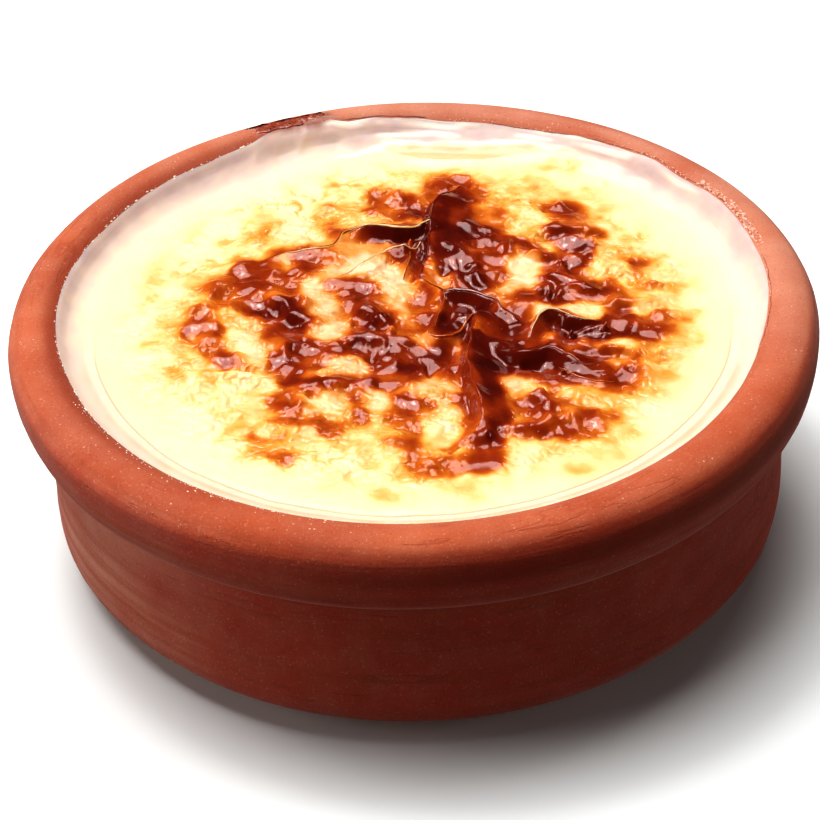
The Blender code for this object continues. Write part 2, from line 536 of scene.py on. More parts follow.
@dataclass(frozen=True)
class BakedCream:
    """Set rice pudding under a skin that browns from yellow over orange to dark caramel."""

    cream: Colour = (0.93, 0.775, 0.50)
    golden: Colour = (0.90, 0.62, 0.265)
    honey: Colour = (0.82, 0.39, 0.082)
    pale: Colour = (0.92, 0.70, 0.46)
    straw: Colour = (0.90, 0.57, 0.32)
    amber: Colour = (0.80, 0.37, 0.110)
    orange: Colour = (0.60, 0.160, 0.017)
    caramel: Colour = (0.34, 0.050, 0.008)
    brown: Colour = (0.150, 0.013, 0.004)
    burnt: Colour = (0.070, 0.006, 0.003)
    gloss: Colour = (0.97, 0.78, 0.78)
    peach: Colour = (0.95, 0.76, 0.55)
    rind: Colour = (0.88, 0.69, 0.57)
    film: Colour = (0.58, 0.43, 0.415)
    stain: Colour = (0.26, 0.070, 0.040)
    band: Colour = (0.77, 0.545, 0.315)
    # The white of the painted highlights along the film's crests at the back.
    crest_highlight: Colour = (0.95, 0.86, 0.76)
    strip: Colour = (0.72, 0.46, 0.30)
    # The grey of the painted shade in the crease near the front edge.
    line: Colour = (0.42, 0.36, 0.27)
    glow: Colour = (1.0, 0.50, 0.22)

    def material(self) -> Material:
        """Build the node material.

        Returns:
            The material.
        """
        make = Finish("Baked_cream")
        fleck = make.span(make.noise(1.1, 2.0), 0.25, 0.75, -0.035, 0.035)
        # The browning also holds painted shade on the folds' steep sides and behind their crests.
        browned = make.attribute("browning")
        value = make.math("ADD", browned, make.times(fleck, make.span(browned, 0.02, 0.25)))
        dark = ((0.40, self.orange), (0.56, self.caramel), (0.76, self.brown), (1.0, self.burnt))
        inner = make.ramp(value, ((0.0, self.pale), (0.13, self.straw), (0.26, self.amber), *dark))
        outer = make.ramp(value, ((0.0, self.cream), (0.13, self.golden), (0.27, self.honey), *dark))
        lip, front, rind = make.attribute("lip"), make.attribute("front"), make.attribute("rind")
        # Painted shade: the finish darkens a thin line along the crease near the front edge.
        crease = make.times(make.span(make.math("ABSOLUTE", lip), 0.20, 0.03), front)
        band = make.times(make.span(make.attribute("band"), 0.0, 0.3), make.attribute("beside"))
        skin = make.coats(
            inner,
            (make.attribute("golden"), outer),
            (make.times(make.span(lip, -0.05, 0.25, 0.0, 0.7), front), self.rind),
            (make.times(make.span(lip, 1.1, 1.8, 0.0, 0.8), front), self.strip),
            (make.times(crease, 0.42), self.line),
            (rind, self.rind),
            (make.attribute("film"), self.film),
            (make.attribute("stained"), self.stain),
            # Painted highlights: white lines along the film's crests at the back.
            (make.attribute("crests"), self.crest_highlight),
            (make.times(band, 0.92), self.band),
        )
        dots = make.times(make.span(make.bubbles(1.3), 0.16, 0.05), make.span(browned, 0.25, 0.5))
        folds = make.math("ABSOLUTE", make.math("SUBTRACT", make.noise(2.0, 1.0), 0.5))
        relief = make.relief(
            (dots, 0.05),
            (make.times(folds, make.attribute("crinkled")), 1.3),
            (make.math("SUBTRACT", 1.0, crease), 0.10),
        )
        shine = make.span(value, 0.05, 0.6, 0.32, 0.52)
        shine = make.times(shine, make.span(rind, 0.2, 0.9, 1.0, 0.35))
        return make.set(
            Base_Color=skin,
            Roughness=make.span(value, 0.1, 0.5, 0.28, 0.15),
            Specular_IOR_Level=shine,
            Specular_Tint=make.blend(make.span(value, 0.2, 0.5), (1.0, 1.0, 1.0), self.gloss),
            Subsurface_Weight=make.span(value, 0.45, 0.85, 0.6, 0.1),
            Subsurface_Radius=self.glow,
            Subsurface_Scale=0.0018,
            Normal=relief,
        )


@dataclass(frozen=True)
class ThickEdge(BakedCream):
    """The thickened, glossy edge of a fold of the skin."""

    def material(self) -> Material:
        """Build the node material.

        Returns:
            The material.
        """
        make = Finish("Glossy_skin_edge")
        dark = ((0.40, self.orange), (0.56, self.caramel), (0.76, self.brown))
        tone = make.ramp(make.attribute("browning"), ((0.0, self.peach), (0.26, self.amber), *dark))
        return make.set(
            Base_Color=tone,
            Roughness=0.20,
            Specular_IOR_Level=0.6,
            Coat_Weight=0.3,
            Coat_Roughness=0.12,
            Subsurface_Weight=0.4,
            Subsurface_Radius=self.glow,
            Subsurface_Scale=0.0012,
        )


@dataclass(frozen=True)
class Crust:
    """What boiled over and burnt on: near black to red-brown, and glossy."""

    char: Colour = (0.030, 0.006, 0.003)
    toffee: Colour = (0.30, 0.060, 0.028)
    pale: Colour = (0.62, 0.40, 0.33)

    def material(self) -> Material:
        """Build the node material.

        Returns:
            The material.
        """
        make = Finish("Burnt_crust")
        fine = make.span(make.noise(0.5, 3.0), 0.3, 0.7, -0.25, 0.25)
        dark = make.math("ADD", make.attribute("char"), fine)
        tone = make.ramp(dark, ((0.0, self.pale), (0.22, self.toffee), (0.62, self.toffee), (0.9, self.char)))
        return make.set(
            Base_Color=tone,
            Roughness=0.20,
            Specular_IOR_Level=0.55,
            Normal=make.relief((make.noise(0.35, 3.0), 0.06)),
        )


@dataclass(frozen=True)
class Grain:
    """Small dried or browned grains of one colour."""

    name: str
    light: Colour
    dark: Colour
    roughness: float

    def material(self) -> Material:
        """Build the node material.

        Returns:
            The material.
        """
        make = Finish(self.name)
        tone = make.blend(make.span(make.noise(0.6, 2.0), 0.35, 0.65), self.dark, self.light)
        return make.set(Base_Color=tone, Roughness=self.roughness, Specular_IOR_Level=0.5)


TOFFEE = Grain("Toffee_line", light=(0.36, 0.11, 0.06), dark=(0.20, 0.045, 0.02), roughness=0.3)
CRUMB = Grain("Baked_crumb", light=(0.88, 0.52, 0.40), dark=(0.62, 0.27, 0.18), roughness=0.22)
DRIED_MILK = Grain("Dried_milk", light=(0.93, 0.84, 0.76), dark=(0.80, 0.62, 0.52), roughness=0.25)


# ---------------------------------------------------------------- the bowl


@dataclass
class Bowl:
    """The terracotta bowl: thrown, with a fat rolled rim, a lip and a rounded foot. Sizes in mm.

    `lip_round` is how far the lip's edge is rounded, outwards and down, and `sinking` how
    far the rim's top sinks and how much that changes around it.
    """

    height: float = 39.4
    rim_radius: float = 60.0
    body_radius: float = 55.5
    waist_radius: float = 55.3
    foot_radius: float = 44.0
    foot_curve_height: float = 9.0
    rim_centre: Point = (55.8, 35.4)
    rim_inner_half_width: float = 4.6
    rim_drop: float = 8.5
    lip_step: float = 0.6
    lip_round: Point = (0.15, 0.25)
    body_rings: int = 12
    wall_foot_radius: float = 49.6
    inner_corner: float = 9.0
    floor_thickness: float = 5.2
    # Where the painted sheen lies: on the rim's back and on the body's left.
    back_sheen_direction: float = math.radians(62.0)
    bloom_direction: float = math.radians(196.0)
    # Where the painted shade lies: in the rim's inner side on the left and on its front right.
    inner_shade_direction: float = math.radians(158.0)
    front_right_shade_direction: float = math.radians(315.0)
    burnt_direction: float = math.radians(109.0)
    burnt_half_angle: float = math.radians(6.5)
    bulge_direction: float = math.radians(290.0)
    bulge: float = 0.75
    unevenness: float = 0.22
    turning_marks: float = 0.05
    most_uneven: float = 0.6
    sinking: Point = (0.10, 0.08)
    segments: int = 384
    noise: Noise = field(default_factory=lambda: Noise(11))

    @property
    def lip_height(self) -> float:
        """How high the lip under the rim is."""
        return self.rim_centre[1] - self.rim_drop

    def arc(
        self, centre: Point, width: float, height: float, start: float, end: float, steps: int
    ) -> list[Point]:
        """Lay out part of an ellipse.

        Args:
            centre: Its middle, as a radius and a height.
            width: Its half-width.
            height: Its half-height.
            start: The angle it starts at, in degrees.
            end: The angle it ends at.
            steps: How many steps it takes.

        Returns:
            The points after each step.
        """
        angles = np.radians(np.linspace(start, end, steps + 1)[1:])
        return [(centre[0] + width * math.cos(a), centre[1] + height * math.sin(a)) for a in angles]

    def profile(self) -> list[Point]:
        """Lay out the section from the middle of the floor, over the rim, to the middle of the foot.

        Returns:
            The radius and the height of each point.
        """
        top = self.height - self.rim_centre[1]
        outer = self.rim_radius - self.rim_centre[0]
        corner = (self.wall_foot_radius - self.inner_corner, self.floor_thickness + self.inner_corner)
        foot = (self.foot_radius, self.foot_curve_height)
        waist_height = self.lip_height - self.lip_step
        points = [(corner[0], self.floor_thickness)]
        points += self.arc(corner, self.inner_corner, self.inner_corner, -90.0, 0.0, 6)
        points += self.arc(self.rim_centre, self.rim_inner_half_width, top, 181.0, 90.0, 14)
        points += self.arc(self.rim_centre, outer, top, 90.0, 0.0, 12)
        points += self.arc(self.rim_centre, outer, self.rim_drop, 0.0, -86.0, 18)
        out, down = self.lip_round
        points += [(self.waist_radius + out, self.lip_height - down), (self.waist_radius, waist_height)]
        fall = waist_height - self.foot_curve_height
        for number in range(1, self.body_rings):
            share = number / self.body_rings
            bulge = (self.body_radius - self.waist_radius) * share
            points.append((self.waist_radius + bulge, waist_height - fall * share))
        points += self.arc(foot, self.body_radius - self.foot_radius, self.foot_curve_height, 3.0, -90.0, 16)
        return points

    def build(self) -> Piece:
        """Draw the section up from a circle by extruding and scaling it, close it, then wobble it.

        Returns:
            The bowl's piece.
        """
        profile = self.profile()
        deselect()
        first = profile[0]
        bpy.ops.mesh.primitive_circle_add(
            vertices=self.segments, radius=first[0] * MM, fill_type="NOTHING", location=(0, 0, first[1] * MM)
        )
        piece = bpy.context.object
        piece.name = "terracotta_bowl"
        bpy.ops.object.transform_apply(location=True)
        bpy.ops.object.mode_set(mode="EDIT")
        bpy.ops.mesh.select_all(action="SELECT")
        for (radius, height), (wider, higher) in zip(profile, profile[1:]):
            bpy.ops.mesh.extrude_edges_move(TRANSFORM_OT_translate={"value": (0, 0, (higher - height) * MM)})
            scale = wider / radius
            bpy.ops.transform.resize(value=(scale, scale, 1.0), center_override=(0, 0, higher * MM))
        bpy.ops.mesh.edge_face_add()
        select_boundary(piece)
        bpy.ops.mesh.edge_face_add()
        finish_mesh()
        self.wobble(piece)
        piece.data.shade_smooth()
        return piece

    def inner_half_width(self, angle: Array) -> Array:
        """The half-width of the rim's inner side, which is fatter at the front right.

        Args:
            angle: Directions from the middle.

        Returns:
            The half-width in each direction, in mm.
        """
        facing = np.cos(angle - self.bulge_direction)
        return self.rim_inner_half_width + self.bulge * smooth_step(-0.3, 0.8, facing)

    def sag(self, angle: Array, height: Array) -> Array:
        """How far the rim's top sinks in each direction, in mm.

        Args:
            angle: Directions from the middle.
            height: Heights before sinking, in mm.

        Returns:
            The drop at each place, in mm.
        """
        slow = self.noise.at(np.cos(angle) * 2.2 + 9.0, np.sin(angle) * 2.2)
        drop, change = self.sinking
        return (drop + change * slow) * smooth_step(30.0, 39.0, height)

    def flank_height(self, radius: Array, angle: Array) -> Array:
        """The height of the rim's inner side, as it stands after the wobble.

        Args:
            radius: Distances from the middle, in mm.
            angle: Directions from the middle.

        Returns:
            The height at each place, in mm.
        """
        share = np.clip((self.rim_centre[0] - radius) / self.inner_half_width(angle), -1.0, 1.0)
        height = self.rim_centre[1] + (self.height - self.rim_centre[1]) * np.sqrt(1.0 - share * share)
        return height - self.sag(angle, height)

    def wobble(self, piece: Piece) -> None:
        """Make the turning a little uneven, inside the bowl's size.

        Args:
            piece: The bowl.
        """
        points = coordinates(piece)
        radius = np.hypot(points[:, 0], points[:, 1])
        angle = np.arctan2(points[:, 1], points[:, 0])
        height = points[:, 2] / MM
        slow = self.noise.at(np.cos(angle) * 2.2 + 9.0, np.sin(angle) * 2.2 + height / 30.0)
        fine = self.noise.layered(angle * 12.0, height, 3.0)
        rings = self.noise.at(4.0 + np.cos(angle) * 0.4, height, 1.7)
        cut = self.unevenness * (0.6 + 0.5 * slow) + self.turning_marks * (fine + 1.0)
        cut += self.turning_marks * (rings + 1.0)
        inside = np.clip((self.rim_centre[0] - radius / MM) / self.rim_inner_half_width, 0.0, 1.0)
        inside *= smooth_step(28.0, 33.0, height)
        cut *= smooth_step(0.0, 2.0, height) * (radius > 40.0 * MM) * smooth_step(0.3, 0.0, inside)
        fatter = self.inner_half_width(angle) - self.rim_inner_half_width
        cut = np.clip(cut, 0.0, self.most_uneven) + inside * fatter
        squeeze = 1.0 - cut * MM / np.maximum(radius, MM)
        points[:, 0] *= squeeze
        points[:, 1] *= squeeze
        points[:, 2] -= self.sag(angle, height) * MM
        place_points(piece, points)
        self.stain(piece, angle, radius / MM, height)

    def stain(self, piece: Piece, angle: Array, radius: Array, height: Array) -> None:
        """Store where the clay is paler (dusty patches and painted sheen), a deeper red (partly painted
        shade), darkened by painted shade, and burnt by what boiled over.

        Args:
            piece: The bowl.
            angle: The direction of each point.
            radius: How far each point is from the axis, in mm.
            height: How high each point is, in mm.
        """
        on_rim = smooth_step(self.rim_centre[1] - 6.0, self.rim_centre[1], height)
        # Painted sheen: paler clay on the back of the rim, on the far left of the body and along the lip,
        # where light glances off them, uneven in patches.
        back = smooth_step(-0.2, 0.9, np.cos(angle - self.back_sheen_direction)) * on_rim
        left = smooth_step(0.65, 1.0, np.cos(angle - self.bloom_direction)) * (1.0 - 0.8 * on_rim)
        patches = 0.75 + 0.5 * self.noise.layered(angle * 30.0, height, 9.0)
        ahead = smooth_step(0.1, 0.6, -np.sin(angle))
        above_lip = height - self.lip_height
        lip = np.exp(-((above_lip - 0.6) ** 2)) * ahead
        bloom = np.clip((0.75 * back + 0.55 * left + 0.75 * lip) * patches, 0.0, 1.0)
        # Partly painted shade: below the rim's middle, and on the front under the rim's top, the clay turns a
        # deeper red, partly its own tone and partly the shade that falls there.
        front = smooth_step(0.2, 0.9, -np.sin(angle + 0.3)) * smooth_step(38.6, 36.0, height)
        deep = np.maximum(smooth_step(36.5, 31.0, height), front) * smooth_step(52.0, 54.0, radius)
        # Painted shade: darker clay in the rim's inner side on the left, on the rim's front right, in a line
        # under the lip and in the hollow above it.
        hollow = smooth_step(55.2, 53.2, radius) * smooth_step(36.0, 37.5, height)
        hollow *= smooth_step(0.1, 0.7, np.cos(angle - self.inner_shade_direction))
        front_right_shade = smooth_step(0.2, 0.9, np.cos(angle - self.front_right_shade_direction))
        front_right_shade *= smooth_step(39.1, 37.6, height)
        front_right_shade *= smooth_step(54.0, 56.0, radius) * smooth_step(32.0, 34.0, height)
        under = 0.55 * smooth_step(0.9, 0.2, np.abs(above_lip + 0.9)) * ahead
        groove_shade = smooth_step(1.6, 0.3, np.abs(above_lip - 3.2)) * ahead
        groove_shade *= 0.22 + 0.25 * self.noise.layered(angle * 8.0, height, 4.0)
        shade = np.clip(np.maximum.reduce((0.50 * hollow, 0.65 * front_right_shade, under, groove_shade)), 0.0, 1.0)
        across = (angle - self.burnt_direction) / self.burnt_half_angle
        edge = 0.35 * self.noise.layered(angle * 60.0, radius, 3.0)
        patch = smooth_step(1.15, 0.55, np.abs(across) + edge)
        patch *= smooth_step(self.rim_centre[0] + 2.4, self.rim_centre[0] - 0.6, radius + 4.0 * edge)
        patch *= 0.55 + 0.6 * self.noise.layered(angle * 60.0 + 30.0, radius * 1.5, 2.4)
        scorch = np.clip(patch, 0.0, 0.9) * smooth_step(36.0, 37.5, height)
        paint(piece, bloom=bloom, deep=deep, shade=shade, scorch=scorch)


# ---------------------------------------------------------------- the pudding


@dataclass(frozen=True)
class Fold:
    """A fold of the skin seen from above, in mm: a smooth crest through a few points.

    The skin falls away over `right` mm on the right of the crest's direction and over
    `left` mm on its left. The crest hangs over by `lean` mm towards its right, or to its
    left where that is negative, and a hollow of `hollow` mm lies beside it on that side.
    `start` and `end` are the shares of the height left at both ends. `face` is the tone of the
    steep side along the crest, from cream to burnt: partly its browning, partly painted shade on
    that side. `scorch` is how dark a thin line just behind the crest is: partly the browning of
    the thin edge, partly painted shade in the gap behind it. `glint` is the half-width of the
    thickened, glossy edge along the crest, and `tone` how browned it is.
    """

    crest: tuple[Point, ...]
    height: float
    right: float
    left: float
    lean: float = 0.0
    hollow: float = 0.0
    start: float = 0.2
    end: float = 0.2
    scorch: float = 0.0
    face: tuple[float, ...] = ()
    glint: tuple[float, ...] = ()
    tone: float = 0.5


# The numbers after each crest are its height and how far the skin falls away on its right and left.
FOLDS = (
    # The flap at the back left, steep towards the front.
    Fold(
        (
            (-25.4, 15.9), (-22.3, 15.8), (-19.5, 16.6), (-16.8, 17), (-13.5, 17.5), (-11.5, 18.3),
            (-10.8, 20.2), (-10, 21.8), (-8, 22.7), (-5.6, 23),
        ),
        1.1, 2.6, 2.6, hollow=0.2, start=0.3, end=0.6, scorch=0.7,
        face=(0.55, 0.6, 0.26, 0.6, 0.46, 0.3, 0.2, 0.18, 0.2, 0.3),
        glint=(0, 0, 0.08, 0.24, 0.24, 0.12, 0.12, 0.14, 0.14, 0.16), tone=0.24,
    ),
    Fold(
        ((-9.6, 21.6), (-8, 22), (-5, 22.3), (-2, 21.7), (0, 21.6), (2, 22.1), (3.6, 22.8)),
        1.9, 1.3, 2.4, lean=0.1, hollow=0.5, start=0.4, end=1, scorch=0.85,
        face=(0.34, 0.5, 0.86, 0.92, 0.9, 0.9, 0.9), glint=(0.05, 0.12, 0.26, 0.38, 0.36, 0.3, 0.2),
        tone=0.22,
    ),
    # The dark hump with a sharp left edge that meets it.
    Fold(
        (
            (8.4, 35), (6.6, 32.6), (5.2, 30.4), (4.2, 27.4), (3.6, 24), (3.4, 20.8), (3.2, 17.2),
            (2.9, 14.4), (2, 12), (1.5, 9.6),
        ),
        1.9, 0.6, 4.2, lean=0.4, hollow=0.4, start=0.3, end=0.4, scorch=0.8,
        face=(0.4, 0.6, 0.9, 0.95, 0.95, 0.95, 0.9, 0.85, 0.7, 0.6),
        glint=(0.05, 0.14, 0.16, 0, 0.1, 0.14, 0.12, 0.12, 0.1, 0), tone=0.7,
    ),
    # The pale crest of the sheet in front of the flap, and the narrow wing beside it.
    Fold(
        (
            (-12.6, 9.6), (-10, 11), (-8, 12.3), (-6, 13.7), (-4.5, 15.1), (-3.4, 16.3), (-2, 16.9),
            (0, 17.1), (1.2, 17.5), (2.2, 18.8),
        ),
        1, 2.6, 0.7, lean=-0.2, hollow=0.3, end=0.6,
        glint=(0, 0.2, 0.28, 0.28, 0.3, 0.32, 0.26, 0.2, 0.16, 0.1), tone=0.18,
    ),
    Fold(
        ((0.3, 16.4), (0, 13.8), (-0.6, 11.2), (-1.1, 9.4)),
        0.9, 0.7, 0.7, start=0.6, end=0.3, glint=(0.1, 0.22, 0.2, 0.1), tone=0.45,
    ),
    # The curl at the middle: its upper crest, and the rim around its dark plate.
    Fold(
        (
            (1.5, 9.2), (3.4, 5.8), (4.9, 3.4), (7, 3.2), (9, 2.7), (11, 1.4), (12.2, 0.2), (13.4, -1.4),
            (15, -2.8), (16, -4.4),
        ),
        1.9, 1.5, 0.7, lean=-0.3, hollow=0.6, start=0.35,
        glint=(0.1, 0.16, 0.3, 0.42, 0.42, 0.34, 0.22, 0.08, 0, 0), tone=0.8,
    ),
    Fold(
        (
            (4.8, 3), (4.5, 0.8), (3.9, -1.7), (3, -4.6), (2.3, -6.8), (3.9, -7.8), (5.5, -7.4), (7, -5.8),
            (8.3, -4), (9.3, -2.2),
        ),
        1.3, 0.7, 0.8, start=0.9, end=0.9, glint=(0.16, 0.12, 0.1, 0.1, 0.16, 0.3, 0.32, 0.4, 0.34, 0.2),
    ),
    # The long ridge that runs to the front.
    Fold(
        (
            (10.1, -2.6), (9.2, -5), (8.8, -8.2), (8.5, -11.4), (8.2, -14.4), (8.3, -17.2), (8.8, -20),
            (9.4, -22.7), (9.7, -25.3), (9.3, -27.8), (8, -30.4), (5, -33.2),
        ),
        2.3, 0.7, 2.4, lean=0.5, hollow=0.4, start=0.8, end=0.1, scorch=0.5,
        face=(0.76, 0.74, 0.72, 0.7, 0.68, 0.68, 0.66, 0.62, 0.6, 0.54, 0.46, 0.4),
        glint=(0, 0.06, 0.1, 0.14, 0.16, 0.18, 0.2, 0.22, 0.1, 0.06, 0, 0), tone=0.6,
    ),
    # The wing on the right of it, with its dark front, and the facet below.
    Fold(
        (
            (10.4, -7.6), (12.5, -9.4), (14, -11.2), (15.5, -12.3), (16.8, -12.6), (18, -12), (19, -11.7),
            (20.3, -12.1), (21.5, -13), (22.6, -14.1), (23.6, -15), (25, -15.5), (26.6, -15),
        ),
        1.8, 1.6, 1.3, lean=0.3, hollow=0.25, start=0.5, end=0.3, scorch=0.85,
        face=(0.84, 0.84, 0.84, 0.82, 0.82, 0.82, 0.82, 0.84, 0.84, 0.8, 0.8, 0.7, 0.6),
        glint=(0, 0, 0, 0, 0, 0, 0.12, 0.26, 0.3, 0.28, 0.24, 0.2, 0.08), tone=0.6,
    ),
    Fold(
        ((20.8, -15.2), (21.8, -16.6), (23.2, -18), (25.2, -19), (27.6, -19), (28.8, -17.8)),
        0.7, 0.8, 1, glint=(0.1, 0.24, 0.26, 0.16, 0.2, 0),
    ),
    # The fold with the pale crest above it.
    Fold(
        (
            (16.2, -8.4), (17, -6.8), (17.6, -5.2), (18.3, -3.4), (19.2, -2.3), (20.5, -1.9), (21.6, -2.1),
            (22.7, -3.2), (24, -4.1), (25.6, -4.5), (27.4, -4.1), (28.4, -3),
        ),
        1.7, 1.1, 1.2, lean=0.3, hollow=0.4, start=0.3, end=0.3,
        face=(0.6, 0.6, 0.62, 0.66, 0.72, 0.7, 0.74, 0.8, 0.8, 0.8, 0.7, 0.6),
        glint=(0, 0.06, 0.14, 0.28, 0.4, 0.3, 0.16, 0.1, 0.1, 0.1, 0, 0), tone=0.16,
    ),
    # The smaller folds behind it and on the right.
    Fold(
        ((18.8, 8.5), (20.5, 8.6), (22.5, 7.7), (24.6, 6.3), (26.6, 5), (28.6, 3)),
        1.2, 1.4, 0.8, lean=0.3, hollow=0.3,
    ),
    Fold(((20.2, 7.6), (20.6, 5.4), (20, 3), (20.2, 0.8)), 0.7, 0.5, 0.5),
    Fold(((22.6, 6.4), (21.8, 4), (21.4, 1.6)), 0.6, 0.5, 0.6),
    Fold(((28.8, 0.8), (31, 1.3), (33.4, 1), (37, 2.6)), 0.9, 0.9, 1.4, lean=0.2, hollow=0.2),
    Fold(((15.4, 18.4), (19.6, 14.4), (22.2, 13.4)), 0.9, 1, 1.4, lean=0.2, hollow=0.2),
    Fold(((19.6, 22), (24.6, 21.6), (30, 21.2)), 1, 0.8, 1.8, lean=0.3, hollow=0.3),
    Fold(((11.2, 13.6), (9.6, 11), (10.2, 8), (12, 5.6)), 0.7, 0.8, 0.9),
    Fold(
        ((24.4, -11), (28.6, -10.9), (32.8, -11.8), (33.6, -16.6), (31.6, -21.4)),
        1, 1, 1.6, lean=0.2, hollow=0.3,
    ),
    Fold(((12.6, -29.4), (17, -28.6), (20, -27.2)), 0.9, 0.9, 1.4, lean=0.3, hollow=0.3),
    Fold(((13.6, -22), (16.4, -21.6), (19, -23.4), (21.4, -26)), 0.9, 1, 1.4, lean=0.2, hollow=0.2),
    # The shallow creases on the left and at the front.
    Fold(((-34.6, -12), (-29.6, -14), (-24.6, -14.5), (-20, -16.2)), 1.1, 2.2, 0.8, lean=-0.3, hollow=0.3),
    Fold(((-18.6, -18), (-13.4, -17), (-8, -16.2)), 0.9, 1, 1.6, lean=0.3, hollow=0.3),
    Fold(((-16.6, -23.6), (-16, -19), (-13.4, -19.4), (-12, -21.6)), 0.8, 0.9, 1.2, lean=0.2, hollow=0.2),
    Fold(((-30.8, 5.2), (-28.4, 9.6), (-26.4, 12.6)), 0.8, 0.9, 1.4, lean=0.2, hollow=0.2),
    Fold(((-22.8, 5.8), (-19.6, 4.4), (-17.6, 1), (-15.4, -1.6)), 1, 1.2, 1.8, lean=0.2, hollow=0.3),
    Fold(((-9, 3.4), (-6.4, 0.6), (-4.2, -1.8), (-2.4, -4.8)), 1, 1.4, 1.2, lean=0.2, hollow=0.3),
    Fold(((-9.4, -5.8), (-5.6, -6.2), (-1.4, -6.9), (0.8, -8.4)), 1, 1.8, 1, lean=0.2, hollow=0.3),
    Fold(((-15.4, -5.6), (-11.8, -7), (-9.6, -9)), 0.8, 0.9, 1.4, lean=0.2, hollow=0.2),
    Fold(((-23.4, -32), (-19.8, -34.2), (-15.6, -32.4)), 0.5, 1, 1.2),
    Fold(((-6, -10.6), (-3, -11.6), (-2.6, -14.4)), 0.7, 0.8, 0.9),
    # The rolled edges where the skin climbs the back of the bowl.
    Fold(
        ((-9, 50.8), (-3, 49.6), (3, 48.4), (10, 47.6), (20, 46.6), (27, 44.6), (35, 40.6), (41, 34.6)),
        0.6, 1.3, 0.8, lean=0.2, hollow=0.2, start=0.3, end=0.3,
    ),
    Fold(((0, 50.9), (7, 49.9), (15, 49.2), (23, 47.7), (31, 43.8), (40, 36.4)), 0.28, 0.6, 0.6),
    Fold(
        ((-3, 47.6), (2, 44.8), (6, 43.9), (12, 43.7), (18, 44.6), (24, 44)),
        0.35, 0.5, 2.2, lean=0.2, hollow=0.2,
    ),
    # Ripples of the skin at the left edge.
    Fold(((-38.4, 36.4), (-36.6, 37.4), (-35, 39)), 0.5, 0.9, 0.9),
    Fold(((-25, 44), (-22.4, 46.8)), 0.4, 0.7, 0.8),
    Fold(((-18, 47.4), (-15.6, 50.4)), 0.5, 0.8, 0.8),
    Fold(((-42, 2), (-42, 12), (-39.6, 22)), 0.18, 1.2, 1.6),
)


@dataclass(frozen=True)
class Stroke:
    """A browned or pale streak of the skin: a straight run in mm, its half-width and its strength."""

    x0: float
    y0: float
    x1: float
    y1: float
    radius: float
    strength: float

    def share(self, x: Array, y: Array, blur: float) -> Array:
        """How much of the streak there is at each place.

        Args:
            x: Places along X, in mm.
            y: Places along Y, in mm.
            blur: How far past its edge the streak fades out, in mm.

        Returns:
            The share at each place, from 0 to 1.
        """
        reach = self.radius + blur
        near = (x > min(self.x0, self.x1) - reach) & (x < max(self.x0, self.x1) + reach)
        near &= (y > min(self.y0, self.y1) - reach) & (y < max(self.y0, self.y1) + reach)
        dx, dy = x[near] - self.x0, y[near] - self.y0
        run_x, run_y = self.x1 - self.x0, self.y1 - self.y0
        part = np.clip((dx * run_x + dy * run_y) / max(run_x**2 + run_y**2, 1e-6), 0.0, 1.0)
        result = np.zeros_like(x)
        away = np.hypot(dx - part * run_x, dy - part * run_y)
        result[near] = 1.0 - smooth_step(0.4 * self.radius, reach, away)
        return result


def strokes(*rows: tuple[float, ...]) -> tuple[Stroke, ...]:
    """Name the numbers of several streaks: from x, y to x, y, half-width, strength."""
    return tuple(Stroke(*row) for row in rows)


